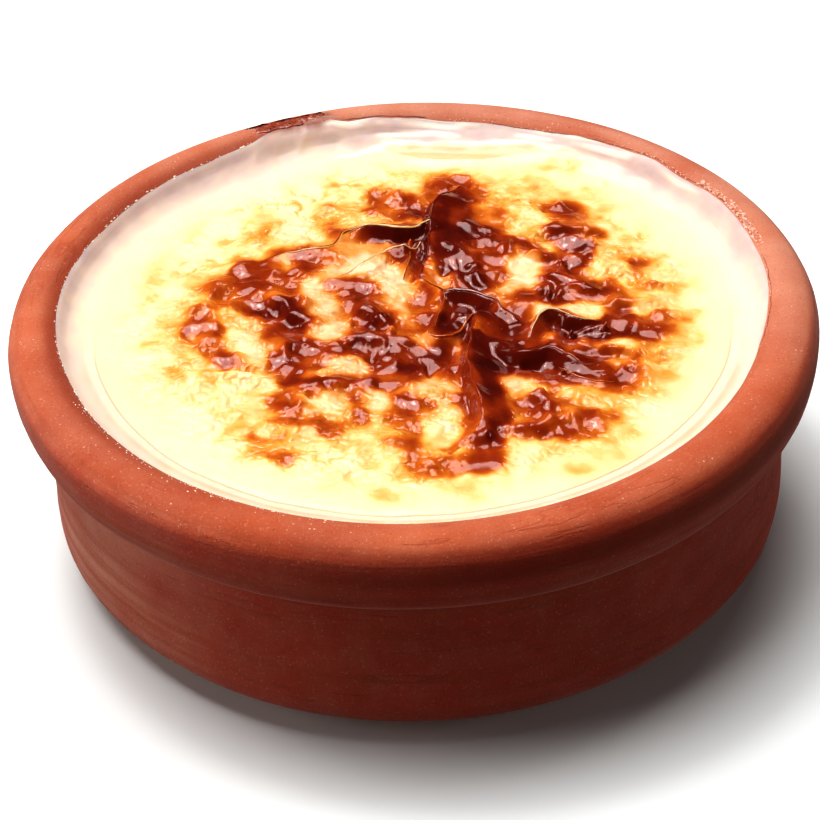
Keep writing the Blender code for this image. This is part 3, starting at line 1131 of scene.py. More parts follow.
BROWNED = strokes(
    # At the back left.
    (-31, 15, -31, 9, 1.6, 0.17), (-36, 5, -35, 0.5, 1.6, 0.16), (-22.3, 25.5, -22, 21, 0.8, 0.34),
    (-24.4, 26.3, -20.6, 26.4, 0.6, 0.18), (-12.8, 30.4, -13.2, 26, 1.5, 0.27),
    (-9, 28.4, -8.9, 26, 0.5, 0.3), (-26.6, 12, -30, 4, 1.7, 0.5), (-28, 4, -31.6, 2, 2.2, 0.5),
    (-24, 13.4, -22.4, 8, 2.2, 0.64), (-19.8, 12, -17.6, 7.6, 2.2, 0.56), (-21, 17.4, -20.8, 13, 1, 0.36),
    (-18.4, 16.4, -14.4, 17.4, 1.7, 0.7), (-12.6, 18, -11.4, 22.4, 1, 0.42),
    (-8.4, 21, -9.2, 15, 2.4, 0.23), (-3.8, 22.4, 2.4, 21.6, 2, 0.93), (-25.4, 5.4, -22, 2, 2.4, 0.62),
    (-21.6, 2.4, -17.2, 3, 2.6, 0.8), (-17.2, 1, -16, -2.6, 1.8, 0.76), (-10.6, 8.4, -7.2, 8, 1.8, 0.58),
    (-9.6, 6, -8, 3.4, 2, 0.62), (-6.2, 8.6, -6, 5, 1, 0.52), (-11.4, 2.6, -11, 0, 0.9, 0.4),
    (-6.6, 1.4, -4.4, -3, 2.5, 0.84), (-3.6, 2.8, -1, -3.2, 0.8, 0.5), (-4.6, 33.2, -1, 31, 2.4, 0.58),
    (0.4, 32, 1.8, 28.4, 1.6, 0.6), (-5.4, 29.8, -1, 27.4, 1.4, 0.52), (-2.4, 17, 1.6, 13.4, 2.2, 0.78),
    (2.2, 19.6, 2.6, 15.6, 1.2, 0.86),
    # At the back right.
    (4.2, 37.4, 4.8, 33.6, 1.3, 0.38), (8.6, 38, 9.6, 36.6, 1.7, 0.55), (10.2, 35, 10.8, 31, 1.7, 0.6),
    (7.4, 33, 8, 24, 2.3, 0.8), (5.2, 29, 5.6, 12, 1.5, 1), (7.6, 21, 7, 15, 1.8, 0.9),
    (11, 27.4, 13.4, 26.8, 1.7, 0.54), (11, 24.6, 12.6, 21.8, 1.5, 0.52), (10.4, 19, 13.6, 16.4, 2.2, 0.76),
    (6.4, 13.6, 9, 11.6, 2.4, 0.82), (9, 9.2, 11.4, 7, 1.7, 0.84), (12.4, 13, 11.8, 9, 1.6, 0.66),
    (15.4, 19.4, 19.4, 16.2, 1.1, 0.62), (23, 28.8, 24.8, 25.8, 1.5, 0.54),
    (21.4, 31.6, 23, 30.6, 0.8, 0.28), (25.6, 22.4, 28, 19.6, 1.8, 0.62), (22.8, 21.6, 24.8, 17, 2, 0.74),
    (26.6, 16, 26.2, 13, 1.7, 0.8), (21.4, 14, 24.4, 11.4, 1.5, 0.74), (20.6, 11, 26.6, 7, 0.8, 0.74),
    (21.4, 7.4, 21, 2.4, 2.2, 0.8), (24.4, 6.6, 25.2, 4.4, 1.4, 0.64), (27.8, 4.6, 30.4, 2.8, 1.6, 0.64),
    (30, 7, 30.8, 5, 0.9, 0.48), (29.4, 0.6, 31.6, -2.4, 1.7, 0.72), (34.6, 12.4, 33.4, 7.6, 1.3, 0.4),
    (36.4, 6.2, 34.4, 4.8, 1.2, 0.38), (31.8, 14.2, 36, 12.2, 0.8, 0.3), (14.4, 4.8, 17.4, 2.8, 1.5, 0.56),
    (6.8, 3.6, 10.4, 0.6, 2.6, 0.98), (2.4, 6.4, 2.6, -1, 0.9, 0.56), (1.4, 11.4, 2.2, 8.4, 0.6, 0.36),
    (19.6, 38, 19.2, 35.6, 1.5, 0.2), (22.6, 41.4, 26, 41, 1, 0.18), (16.4, 34, 20.4, 33.4, 1.6, 0.2),
    (28, 33, 31, 29, 1.4, 0.14), (31.6, 22.6, 33.4, 17.6, 1, 0.14), (39, 10.6, 40, 6, 0.8, 0.13),
    (36, 0, 37.6, -5.6, 2.2, 0.37), (34.4, 9, 35.6, 4, 1.4, 0.36), (33, -8.4, 34.6, -13.6, 1.4, 0.36),
    (13.2, 36, 12.8, 32, 0.9, 0.24),
    # At the front left.
    (-32.4, -1.2, -29.4, -2.4, 1.9, 0.62), (-31, -5, -29.2, -9, 1.3, 0.52),
    (-27.4, -10.4, -24.4, -11.8, 1.3, 0.5), (-33.6, -9.6, -29.6, -11.8, 0.9, 0.31),
    (-35, -12, -34.4, -14.6, 0.6, 0.28), (-29.8, -13.4, -29.4, -17, 0.5, 0.2),
    (-21, -3.4, -17.4, -6.4, 2.2, 0.52), (-20.6, -9.8, -17.8, -13.2, 2, 0.64),
    (-16.4, -7.6, -12.4, -9, 2.4, 0.78), (-18.4, -15.4, -15.4, -18.2, 2, 0.6),
    (-14.4, -12.4, -13, -11.4, 1, 0.54), (-7.4, -7.4, -3.8, -8.4, 2.5, 0.86),
    (-5, -11.6, -1.8, -13.6, 2.6, 0.88), (-0.6, -8.6, 1.2, -13, 2.2, 0.76),
    (-13.4, -16.6, -6.4, -16.6, 1.4, 0.7), (-9, -18.4, -7.8, -20.4, 1, 0.6),
    (-19.2, -19.4, -17.4, -24.4, 1.5, 0.46), (-20.4, -25.6, -15.2, -25.4, 0.9, 0.42),
    (-13, -26, -11.8, -28, 1.4, 0.46), (-8.8, -22.8, -8, -24, 1, 0.44), (-3.2, -22, -2.6, -26.8, 1.8, 0.54),
    (-1.2, -21.4, 1.4, -23, 1.2, 0.62), (-1.2, -27.4, 0.4, -29, 1.2, 0.48),
    (-2, -31, -1.2, -35.4, 1.5, 0.4), (-0.4, -37, 4.2, -38, 1.3, 0.46),
    (-22.8, -28.6, -20, -29.4, 0.8, 0.4), (-21.8, -31.6, -18.2, -33.2, 1.2, 0.44),
    (-18, -31, -16.4, -31, 0.7, 0.3), (-24, -23, -24, -18.6, 0.7, 0.17),
    (-22.8, -21.4, -22.6, -18.6, 0.5, 0.22), (-7.6, -31.6, -6.4, -36, 1.1, 0.17),
    (-13, -37, -12.4, -37, 0.8, 0.12), (-4.6, -42.4, -3.6, -42.8, 1.1, 0.14),
    (-23.4, -25.6, -21, -26.8, 0.7, 0.3), (-28.4, -22, -27, -23, 1, 0.12),
    (-34, -4.4, -36.4, -4.8, 0.8, 0.22),
    # At the front right.
    (2, -1, 1.4, -4, 0.9, 0.66), (3.4, -8.8, 4.2, -12, 1.9, 0.6), (0.6, -14, 0.4, -16.2, 1.2, 0.62),
    (6.2, -11, 7, -17, 1, 0.6), (7.4, -19, 7.4, -24, 0.8, 0.48), (7.8, -4.6, 8, -20, 0.6, 0.72),
    (10.2, -8, 10.8, -20, 1.4, 1), (11.4, -20, 11.6, -28.4, 1.6, 0.9),
    (10.4, -29.6, 10.6, -35.4, 1.5, 0.72), (12, -9.4, 18.4, -10.2, 2.3, 1),
    (13, -13, 17.4, -13.4, 1.7, 0.98), (13.4, -15.8, 24, -18, 1.4, 0.76), (20.6, -13, 25.2, -15, 2.6, 0.92),
    (26.8, -17.2, 29, -18, 1.3, 0.62), (11.6, -2, 14.6, -5.8, 2.5, 0.8), (16.8, -4, 16, -8.2, 1.1, 0.66),
    (20.8, -3, 22.6, -7, 2.4, 0.88), (25.6, -4.8, 27, -7.6, 1.8, 0.76), (23.4, -10.6, 25, -11, 1.2, 0.62),
    (29.8, -3, 30.8, -6.6, 2, 0.68), (33.8, -5, 37.4, -5.4, 2, 0.54), (35.4, -2.2, 37, -2.8, 1, 0.42),
    (32.6, -8, 34.4, -7.8, 1.2, 0.46), (38.8, -3.6, 38.4, -8, 1.1, 0.32), (28, -12, 31.4, -13.4, 1.4, 0.5),
    (30, -16.4, 32, -17.6, 2, 0.54), (33.8, -14, 33.8, -17.6, 0.8, 0.33), (15.8, -22, 17.6, -26, 2.3, 0.66),
    (19.6, -21.6, 24.4, -25.2, 1, 0.58), (14.6, -28.8, 20.4, -29, 1.8, 0.66),
    (24.4, -26.4, 27.2, -26, 1.3, 0.5), (23.4, -28, 24, -30.4, 1.2, 0.5),
    (19.6, -19.4, 22, -20.6, 0.8, 0.52), (26.6, -20.4, 31, -20.6, 0.5, 0.36),
    (26, -30.8, 29.4, -30.4, 1.1, 0.22), (5.8, -31.6, 8.2, -32.8, 1.2, 0.5),
    (5.8, -36, 9, -36.6, 1.3, 0.38), (16.4, -35.4, 24.4, -34, 1.4, 0.14), (21.6, -37.4, 23, -38, 1.4, 0.17),
    (6.2, -41.6, 7.4, -43, 1.1, 0.18), (26.6, -35.6, 28, -34.6, 1.4, 0.13),
    (36.6, -12, 35.6, -17, 1.4, 0.14),
    # In the curl.
    (6.8, 1.4, 4.4, -5.4, 1.9, 0.92), (9.4, 1, 6.6, -4.6, 1.7, 0.92), (3.4, -0.6, 2.6, -4.4, 0.8, 0.62),
    (11.6, -2.6, 13.4, -7.6, 2.4, 0.72), (3.6, -9.6, 5.6, -13, 1.8, 0.56),
    (5.6, -14.6, 6.6, -21.6, 1.5, 0.56), (9.6, -9.6, 10.4, -14, 1.6, 0.98), (11, -14, 11, -22, 1.4, 0.92),
)

# Broad orange areas that the browned streaks lie in.
BROAD = strokes(
    (-28, 10, -20, 9, 3.6, 0.46), (-29.4, 3, -29, 1, 2.6, 0.42), (-24, 3.6, -16, -1, 3.6, 0.46),
    (-19.6, -5, -14, -8.6, 3.4, 0.44), (-19, -12, -15, -16.6, 3.2, 0.46), (-9, -7, 0, -10.6, 4.4, 0.5),
    (-13.6, -16.4, -2, -15.6, 2.6, 0.48), (-8.4, 6, -7.4, -1, 2.8, 0.45), (-5, 0, 0, -5, 2.4, 0.46),
    (-2, 18, 1, 12, 2.6, 0.48), (1.6, 8, 1, 0, 1.6, 0.4), (7, 36.4, 7.6, 22, 3.4, 0.5),
    (-2.6, 32.6, 0.6, 28.6, 2.8, 0.44), (8.6, 20, 9.4, 9, 4, 0.52), (13, 26, 13, 18, 1.6, 0.4),
    (24, 27.6, 24.6, 12, 2.4, 0.46), (22.6, 8, 21.6, 3, 2.8, 0.46), (26.6, 5.4, 31.6, 1, 2.4, 0.44),
    (16, 3.4, 14, -3, 2.4, 0.5), (12.6, -5, 21.6, -6, 3.2, 0.5), (26.6, -6, 33.4, -5.6, 2.8, 0.46),
    (13, -14, 26.6, -16.6, 2.6, 0.52), (30.6, -13.4, 30.6, -18, 2.4, 0.42),
    (16.6, -23.6, 21, -28.4, 3, 0.46), (5.4, -10, 6.6, -20, 2.4, 0.46), (9.4, -20, 9.6, -35, 2.2, 0.5),
    (-18.6, -20, -15.4, -25.6, 1.6, 0.36), (-13.6, -25.6, -8.4, -25, 1.8, 0.34),
    (-3, -22, -1, -28, 2.2, 0.42), (-1.6, -31, 1.6, -37, 1.9, 0.38), (4.6, -35.6, 9, -34.6, 1.9, 0.38),
    (-31, -4, -27, -10, 1.9, 0.38), (-20.6, -32, -18.6, -32.4, 1.4, 0.36),
    (24.6, -26.4, 25.6, -28.4, 1.9, 0.4), (-13, 17.6, -19, 16, 1.8, 0.46), (34.6, -4, 37.4, -6, 1.6, 0.36),
    (33.4, 8, 33, 12, 1.6, 0.28), (-24, 13.6, -16, 12, 2.4, 0.48), (3, -8.6, -1, -13, 2.8, 0.5),
    (21, -10.6, 25.4, -12, 2.4, 0.5), (-12, 7.6, -8.6, 8.8, 1.6, 0.42), (10.6, 4.6, 13.6, 7, 2, 0.48),
)

# Pale windows, where the skin stayed cream between browned streaks.
PALE = strokes(
    (-15, 9, -15, 3.4, 1, 0.95), (-13.4, 1.4, -12.8, 0.8, 1, 0.9), (-14, -3, -11, -4.4, 1.5, 0.95),
    (-13.6, 11.8, -8, 12.2, 1.2, 0.9), (-4, 11, -0.8, 6.6, 1.8, 1), (-2.8, 4.2, -1.6, -0.4, 0.5, 0.5),
    (-12, 11, -3.4, 18.4, 0.5, 0.8), (-26.2, 0.4, -25, -6.4, 2.2, 1), (-24.6, -8.6, -22.8, -9.4, 1.2, 0.75),
    (-10.8, -12.2, -9.2, -13, 1.7, 0.95), (-14.8, -15, -13.4, -14.4, 0.7, 0.7),
    (-13.4, -20.6, -10.8, -23.4, 1.5, 0.9), (-5.8, -20.4, -5.2, -21.4, 1.3, 0.85),
    (0.6, -6.6, 2.6, -7.8, 0.7, 0.8), (14.6, -18.6, 15.2, -21.2, 1.1, 0.9), (21.4, -21.8, 24, -23, 1, 0.8),
    (2.2, -17.6, 4.6, -19.4, 1.4, 0.9), (4.6, -24, 3.8, -29, 2, 0.95), (2.4, -32.4, 3, -32.4, 1.6, 0.9),
    (14.4, -33.4, 15.4, -33, 2, 0.9), (17.6, -3.6, 19.2, -0.2, 0.4, 0.85),
    (19.2, -0.2, 22.6, 0.6, 0.7, 0.95), (24.4, 0.4, 26.4, -0.4, 1.3, 0.95),
    (27.4, -9.6, 31.6, -10, 0.5, 0.7), (34, -0.8, 37.4, 1.4, 1, 0.75), (31.4, 9.2, 29, 10.4, 2, 0.95),
    (26.8, 8.6, 27.4, 8.8, 0.8, 0.8), (17.4, 10.4, 16.4, 12.6, 2.1, 1), (14.8, 6.4, 15.6, 7.4, 1.1, 0.9),
    (18.4, 25, 17, 28.4, 2.4, 0.9), (38.4, 9.4, 37.8, 8, 0.9, 0.6), (-27, -15.6, -21.6, -15.8, 1.4, 0.85),
    (-21, -28, -15, -28.2, 0.7, 0.7), (16.4, -19.4, 17, -19.8, 0.6, 0.6),
)


@dataclass(frozen=True)
class Facet:
    """A place, in mm, where the skin lies tilted to the front and catches the light."""

    x: float
    y: float
    radius: float
    slope: float = 0.36


def facets(*rows: tuple[float, ...]) -> tuple[Facet, ...]:
    """Name the numbers of several facets: x, y, radius."""
    return tuple(Facet(*row) for row in rows)


FACETS = facets(
    (-19.4, 3, 2.6), (-16.8, -0.4, 1.8), (-6.4, 0.2, 2.2), (-5.4, -2.4, 1.8), (-6.2, -8, 2.8),
    (-14.6, -9, 1.2), (-20, -10.6, 2.1), (-26.6, -10.8, 1.7), (-31.4, -2.2, 2.2), (-8, -18.2, 1.6),
    (-15.4, -18.6, 1.6), (-17.6, -20, 1.2), (7.6, 12.6, 2.8), (9.6, 8.6, 1.7), (11.8, 18.2, 2.1),
    (14, 16.2, 1.4), (24.4, 17.8, 2.2), (22.2, 21.2, 1.5), (24.4, 12.4, 2.2), (27.4, 11.4, 1.2),
    (22, 7, 2.4), (24, 4.2, 1.8), (-2.2, 16.4, 2.2), (24.6, -4.6, 2.2), (26.6, -7, 1.7), (19.4, -12, 2.6),
    (26.4, -17.6, 1.6), (17, -23.6, 2.2), (17.6, -26, 1.8), (18.6, -29.2, 2.4), (21.4, -28.2, 1.6),
    (25, -28.4, 1.8), (31.2, -17.2, 2.5), (31.8, -13.2, 1.4), (13.4, -29.8, 1.2), (2.2, -12.6, 1.7),
    (6.4, -14.4, 1), (-0.4, -22.4, 1.7), (-2, 32, 2.2), (-4.2, 35, 2), (-6, 27.8, 1.6), (23.4, 28, 1.6),
    (8.8, 38, 1.7), (-24.4, 19, 2), (-25.6, 21.2, 1.5), (-13, 29.6, 1.6), (16.6, 13, 2.2), (17.6, 8.6, 1.8),
    (30, 10.2, 2.2), (-12.8, -3.8, 2), (-10.6, -6.8, 1.3), (-9.4, -11.6, 1.4), (-22.8, 5.6, 1.2),
    (-21.4, 8.4, 0.9), (-17.6, 11.8, 1), (-10.4, 6.4, 1), (-6.8, 7.6, 0.9), (-28, 7.6, 0.9),
    (-26, 13.6, 1.1), (38.4, 9.2, 1.7), (36, 5.4, 1.1), (31, 4.6, 1), (36.4, -3, 1.3), (34.2, -7.2, 1.2),
    (35.6, -5.6, 1), (9.2, -2.4, 1.6), (1, -36.6, 1.3), (-21, -9, 1), (-13, -13.6, 1.1), (7.4, -31.8, 1.5),
    (28, -11, 0.9), (23.6, 36.8, 2.4), (27, 32.6, 2), (-8.4, -23.6, 0.9), (-20.6, -28, 1.2), (12, 22, 1.2),
    (30, -20, 0.9), (20, -19, 0.9),
)


@dataclass
class Pudding:
    """The pudding with its skin: level, edge and folds. Sizes in mm.

    `edge_line` gives a few directions in degrees and the edge's height there, `film_edge`
    the width and the strength of the grey film, and `back_band` the radius past which the
    back is tan. `white_lines` are how far inside the edge the painted highlights on the film's
    crests run, and `wall_steps` how far the side drops below the skin, step by step, and
    shrinks. The skin's stiff plates have two sizes and two heights, one for each way that they run.
    """

    level: float = 35.6
    edge_line: Rows = (
        (0, 38.8), (7, 38.95), (23, 39.05), (30, 39.05), (36, 38.9), (43, 39.1), (52, 38.85), (59, 38.7),
        (65, 38.45), (70, 38.4), (76, 38.65), (83, 38.6), (88, 38.8), (95, 38.98), (100, 38.95), (103, 39.25),
        (114, 39.25), (118, 38.85), (126, 38.65), (140, 38.65), (175, 38.65), (190, 38.45), (200, 38.15),
        (230, 38), (300, 38), (345, 37.9), (352, 38.35), (360, 38.8),
    )
    film_edge: Rows = (
        (0, 4, 0.8), (12, 5.8, 1), (25, 5.4, 1), (50, 3.4, 0.9), (60, 2.6, 0.85), (67, 2.8, 0.9),
        (78, 4.2, 0.95), (86, 4.7, 0.95), (93, 4.4, 0.92), (100, 5.8, 0.85), (110, 8, 0.8), (120, 8, 0.9),
        (140, 5.6, 0.95), (165, 4.4, 0.95), (190, 3.8, 0.85), (215, 3, 0.6), (240, 2, 0.3), (330, 1.8, 0.3),
        (360, 4, 0.8),
    )
    back_band: Rows = (
        (52, 56), (55, 51.5), (61.4, 50.1), (68, 48.1), (74.6, 45.3), (82.2, 44.3), (87.4, 44.8),
        (93.6, 47.7), (99, 50.5), (103, 56),
    )
    white_lines: tuple[float, ...] = (0.7, 1.5, 3.0)
    wall_steps: Rows = ((4.0, 0.975), (20.0, 0.985), (6.0, 0.93))
    edge_band: float = 5.0
    back_edge_band: float = 7.5
    film: float = 0.10
    crease_radius: float = 47.1
    back_direction: float = math.radians(75.0)
    skin_radius: float = 38.0
    skin_rise: float = 0.5
    highest: float = 39.38
    into_wall: float = 0.35
    streak_blur: float = 2.2
    broad_blur: float = 3.4
    glow_blur: float = 4.8
    pale_blur: float = 1.6
    glow: float = 0.26
    sharpness: float = 6.0
    wandering: float = 0.30
    plate_sizes: Point = (6.2, 4.7)
    plate_heights: Point = (2.2, 1.1)
    facet_flattening: float = 0.72
    crease_depth: float = 0.20
    cells: int = 296
    curve_steps: int = 24
    bowl: Bowl = field(default_factory=Bowl)
    warp_east: Noise = field(default_factory=lambda: Noise(21))
    warp_north: Noise = field(default_factory=lambda: Noise(22))
    crumple: Noise = field(default_factory=lambda: Noise(23))
    wrinkle: Noise = field(default_factory=lambda: Noise(24))
    mottle: Noise = field(default_factory=lambda: Noise(25))

    def flank_radius(self, height: Array, angle: Array) -> Array:
        """The radius of the rim's inner side, moved a little into the clay.

        Args:
            height: Heights, in mm.
            angle: Directions from the middle.

        Returns:
            The radius at each place, in mm.
        """
        top = self.bowl.height - self.bowl.rim_centre[1]
        share = np.clip((height - self.bowl.rim_centre[1]) / top, -1.0, 1.0)
        width = self.bowl.inner_half_width(angle)
        return self.bowl.rim_centre[0] + self.into_wall - width * np.sqrt(1.0 - share * share)

    def edge_lift(self, angle: Array) -> Array:
        """How much of the climb at the back the edge has in each direction."""
        return np.maximum(0.0, np.cos(angle - self.back_direction)) ** 2

    def edge(self, angle: Array) -> Array:
        """The height of the pudding's edge.

        Args:
            angle: Directions from the middle.

        Returns:
            The height in each direction, in mm.
        """
        wave = 0.08 * self.wrinkle.layered(np.cos(angle) * 14.0, np.sin(angle) * 14.0, 4.0, 2)
        return at_directions(angle, self.edge_line) + wave

    def fold_curve(self, fold: Fold) -> Array:
        """Lay a Catmull-Rom curve through a fold's crest.

        Args:
            fold: The fold.

        Returns:
            The curve's points, one row each.
        """
        knots = [np.array(point, dtype=float) for point in fold.crest]
        knots = [2.0 * knots[0] - knots[1], *knots, 2.0 * knots[-1] - knots[-2]]
        rows = []
        for before, start, end, after in zip(knots, knots[1:], knots[2:], knots[3:]):
            for t in np.linspace(0.0, 1.0, self.curve_steps, endpoint=False):
                bend = (2.0 * before - 5.0 * start + 4.0 * end - after) * t**2
                twist = (3.0 * (start - end) + after - before) * t**3
                rows.append((2.0 * start + (end - before) * t + bend + twist) / 2.0)
        return np.array([*rows, knots[-2]])

    def lift_by(self, fold: Fold, x: Array, y: Array) -> tuple[Array, ...]:
        """What one fold does to the skin.

        Args:
            fold: The fold.
            x: Places along X.
            y: Places along Y.

        Returns:
            How far each place is lifted, how far it is pushed along X and along Y, how much
            of its steep side it is, that side's tone and the tone of the thin edge, each partly
            browning and partly painted shade.
        """
        curve = self.fold_curve(fold)
        ahead = np.gradient(curve, axis=0)
        ahead /= np.linalg.norm(ahead, axis=1)[:, None]
        reach = 4.0 * max(fold.right, fold.left)
        near = (x > curve[:, 0].min() - reach) & (x < curve[:, 0].max() + reach)
        near &= (y > curve[:, 1].min() - reach) & (y < curve[:, 1].max() + reach)
        results = [np.zeros_like(x) for _ in range(6)]
        dx = x[near, None] - curve[None, :, 0]
        dy = y[near, None] - curve[None, :, 1]
        nearest = np.argmin(dx * dx + dy * dy, axis=1)
        rows = np.arange(len(nearest))
        dx, dy = dx[rows, nearest], dy[rows, nearest]
        direction = ahead[nearest]
        right = direction[:, 1] * dx - direction[:, 0] * dy
        distance = np.hypot(dx, dy)
        width = np.where(right > 0.0, fold.right, fold.left)
        along = nearest / (len(curve) - 1)
        taper = 1.0 - (1.0 - fold.start) * (1.0 - smooth_step(0.0, 0.3, along))
        taper -= (1.0 - fold.end) * smooth_step(0.7, 1.0, along)
        taper *= 1.0 + 0.12 * self.mottle.at(x[near], y[near], 5.0)
        crest = np.exp(-((distance / width) ** 1.5))
        side = 1.0 if fold.lean >= 0.0 else -1.0
        beside = np.exp(-(((right * side - 1.8) / 1.3) ** 2)) * np.exp(-((distance / 4.0) ** 4))
        push = taper * fold.lean * np.exp(-((distance / (1.3 * max(fold.right, fold.left))) ** 2))
        results[0][near] = taper * (fold.height * crest - fold.hollow * beside)
        results[1][near] = push * direction[:, 1]
        results[2][near] = -push * direction[:, 0]
        # The steep side's tone: partly its browning, partly painted shade on that side.
        if fold.face:
            steep = fold.right if side > 0.0 else fold.left
            low = smooth_step(1.5 * steep + 0.9, 1.1 * steep, right * side)
            ends = smooth_step(1.2, 0.4, distance - np.abs(right))
            results[3][near] = smooth_step(-0.5, 0.1, right * side) * low * ends
            results[4][near] = np.interp(along, np.linspace(0.0, 1.0, len(fold.face)), fold.face)
        # A dark line just behind the crest: partly the browning of the thin edge, partly painted shade in the
        # gap behind it.
        results[5][near] = fold.scorch * np.exp(-(((right * side + 0.2) / 0.3) ** 2)) * (distance < 1.0)
        return tuple(results)

    def browning(self, x: Array, y: Array) -> Array:
        """How browned the skin is.

        Args:
            x: Places along X, in mm.
            y: Places along Y, in mm.

        Returns:
            A value for each place, from 0, cream, to 1, burnt.
        """
        east = 0.85 * self.warp_east.at(x, y, 4.0) + 0.10 * self.warp_east.at(x, y, 1.4)
        north = 0.85 * self.warp_north.at(x, y, 4.0) + 0.10 * self.warp_north.at(x, y, 1.4)
        wx, wy = x + east, y + north
        core = np.zeros_like(x)
        glow = np.zeros_like(x)
        for stroke in BROWNED:
            core += (0.78 * stroke.strength * stroke.share(wx, wy, self.streak_blur)) ** self.sharpness
            glow += stroke.strength * stroke.share(wx, wy, self.glow_blur)
        for stroke in BROAD:
            core += (stroke.strength * stroke.share(wx, wy, self.broad_blur)) ** self.sharpness
        fringe = self.mottle.layered(x * 0.8 + y * 0.6, (y * 0.8 - x * 0.6) * 0.8, 2.4)
        glow = self.glow * (1.0 - np.exp(-1.1 * glow)) * (1.0 + 0.6 * fringe)
        value = (core + np.maximum(glow, 0.0) ** self.sharpness) ** (1.0 / self.sharpness)
        for stroke in PALE:
            value *= 1.0 - 0.62 * stroke.strength * stroke.share(wx, wy, self.pale_blur)
        value += 0.16 * self.mottle.layered(x, y, 5.0, 2) * smooth_step(0.04, 0.3, value)
        radius = np.hypot(x, y)
        outer = smooth_step(20.0, 28.0, radius) * smooth_step(44.0, 37.0, radius)
        wisps = smooth_step(0.30, 0.0, np.abs(self.crumple.layered(wx + 70.0, wy, 4.4, 2)))
        wisps *= smooth_step(-0.2, 0.5, self.mottle.at(x + 50.0, y, 6.0))
        value = np.maximum(value, (0.17 + 0.08 * smooth_step(0.0, 20.0, y)) * outer * wisps)
        clouds = smooth_step(-0.3, 0.6, self.mottle.layered(x, y + 60.0, 7.0, 2))
        value += (0.10 + 0.05 * smooth_step(0.0, 20.0, y)) * clouds * smooth_step(46.0, 39.0, radius)
        value *= 1.0 + 0.6 * smooth_step(0.34, 0.12, value) * self.crumple.layered(x, 1.2 * y, 3.2, 2)
        return np.clip(value, 0.0, 1.0)

    def relief(self, x: Array, y: Array, browned: Array) -> Array:
        """The height of the crumpled skin, without its folds.

        Args:
            x: Places along X, in mm.
            y: Places along Y, in mm.
            browned: How browned each place is.

        Returns:
            The height at each place, in mm.
        """
        radius = np.hypot(x, y)
        drift = radius + 2.0 * self.mottle.at(x, y, 9.0)
        inner = 1.0 - smooth_step(self.skin_radius - 4.0, self.skin_radius + 6.0, drift)
        wx = x + 1.4 * self.warp_east.at(x, y, 7.0)
        wy = y + 1.4 * self.warp_north.at(x, y, 7.0)
        swell = 0.40 * self.crumple.at(wx, wy, 11.0)
        ridges = 0.35 - np.abs(self.crumple.at(wx + 40.0, wy, 5.2))
        creases = 0.30 - np.abs(self.wrinkle.at(wx, wy + 40.0, 2.9))
        rough = inner * (0.45 + 0.45 * smooth_step(0.05, 0.5, browned))
        smooth = 0.12 * self.mottle.layered(x, y, 7.0) * (1.0 - inner)
        crumpled = 0.55 * ridges + 0.17 * creases + 0.6 * self.plates(x, y)
        height = inner * swell + rough * crumpled + smooth
        wave = 1.0 + 0.75 * self.crumple.at(x + 20.0, y, 2.6)
        veins = 0.30 * np.abs(self.wrinkle.at(x + 60.0, 0.6 * y, 1.5))
        for facet in FACETS:
            away = np.hypot(x - facet.x, 1.15 * (y - facet.y)) * wave / facet.radius
            share = smooth_step(1.5, 0.6, away) * (0.4 + 0.6 * smooth_step(0.12, 0.4, browned))
            height = height * (1.0 - self.facet_flattening * share)
            tilted = facet.slope * (y - facet.y) + 0.12 * (x - facet.x) + 0.10 * facet.radius
            height += share * (tilted + veins * inner)
        return height

    def plates(self, x: Array, y: Array) -> Array:
        """Flat plates of stiff skin that meet in crisp bends.

        Args:
            x: Places along X, in mm.
            y: Places along Y, in mm.

        Returns:
            The height at each place, in mm.
        """
        east = x + 2.2 * self.warp_north.at(x + 30.0, y, 8.0)
        north = y + 2.2 * self.warp_east.at(x + 30.0, y, 8.0)
        first = (0.30 * east + 0.95 * north) / self.plate_sizes[0]
        second = (0.90 * east - 0.44 * north) / self.plate_sizes[1]
        bends = [np.sqrt(((turn % 1.0) - 0.5) ** 2 + 0.0006) for turn in (first, second)]
        return self.plate_heights[0] * (bends[0] - 0.25) + self.plate_heights[1] * (0.25 - bends[1])

    def unwarped(self, x: Array, y: Array) -> tuple[Array, Array]:
        """The places that the folds' small wander moves to the given ones."""
        east, north = self.wander(x, y)
        return x - east, y - north

    def wander(self, x: Array, y: Array) -> tuple[Array, Array]:
        """How far the folds wander from their smooth curves at each place, along X and Y."""
        shifts = (noise.at(x, y, 2.6) for noise in (self.warp_east, self.warp_north))
        return tuple(self.wandering * shift for shift in shifts)

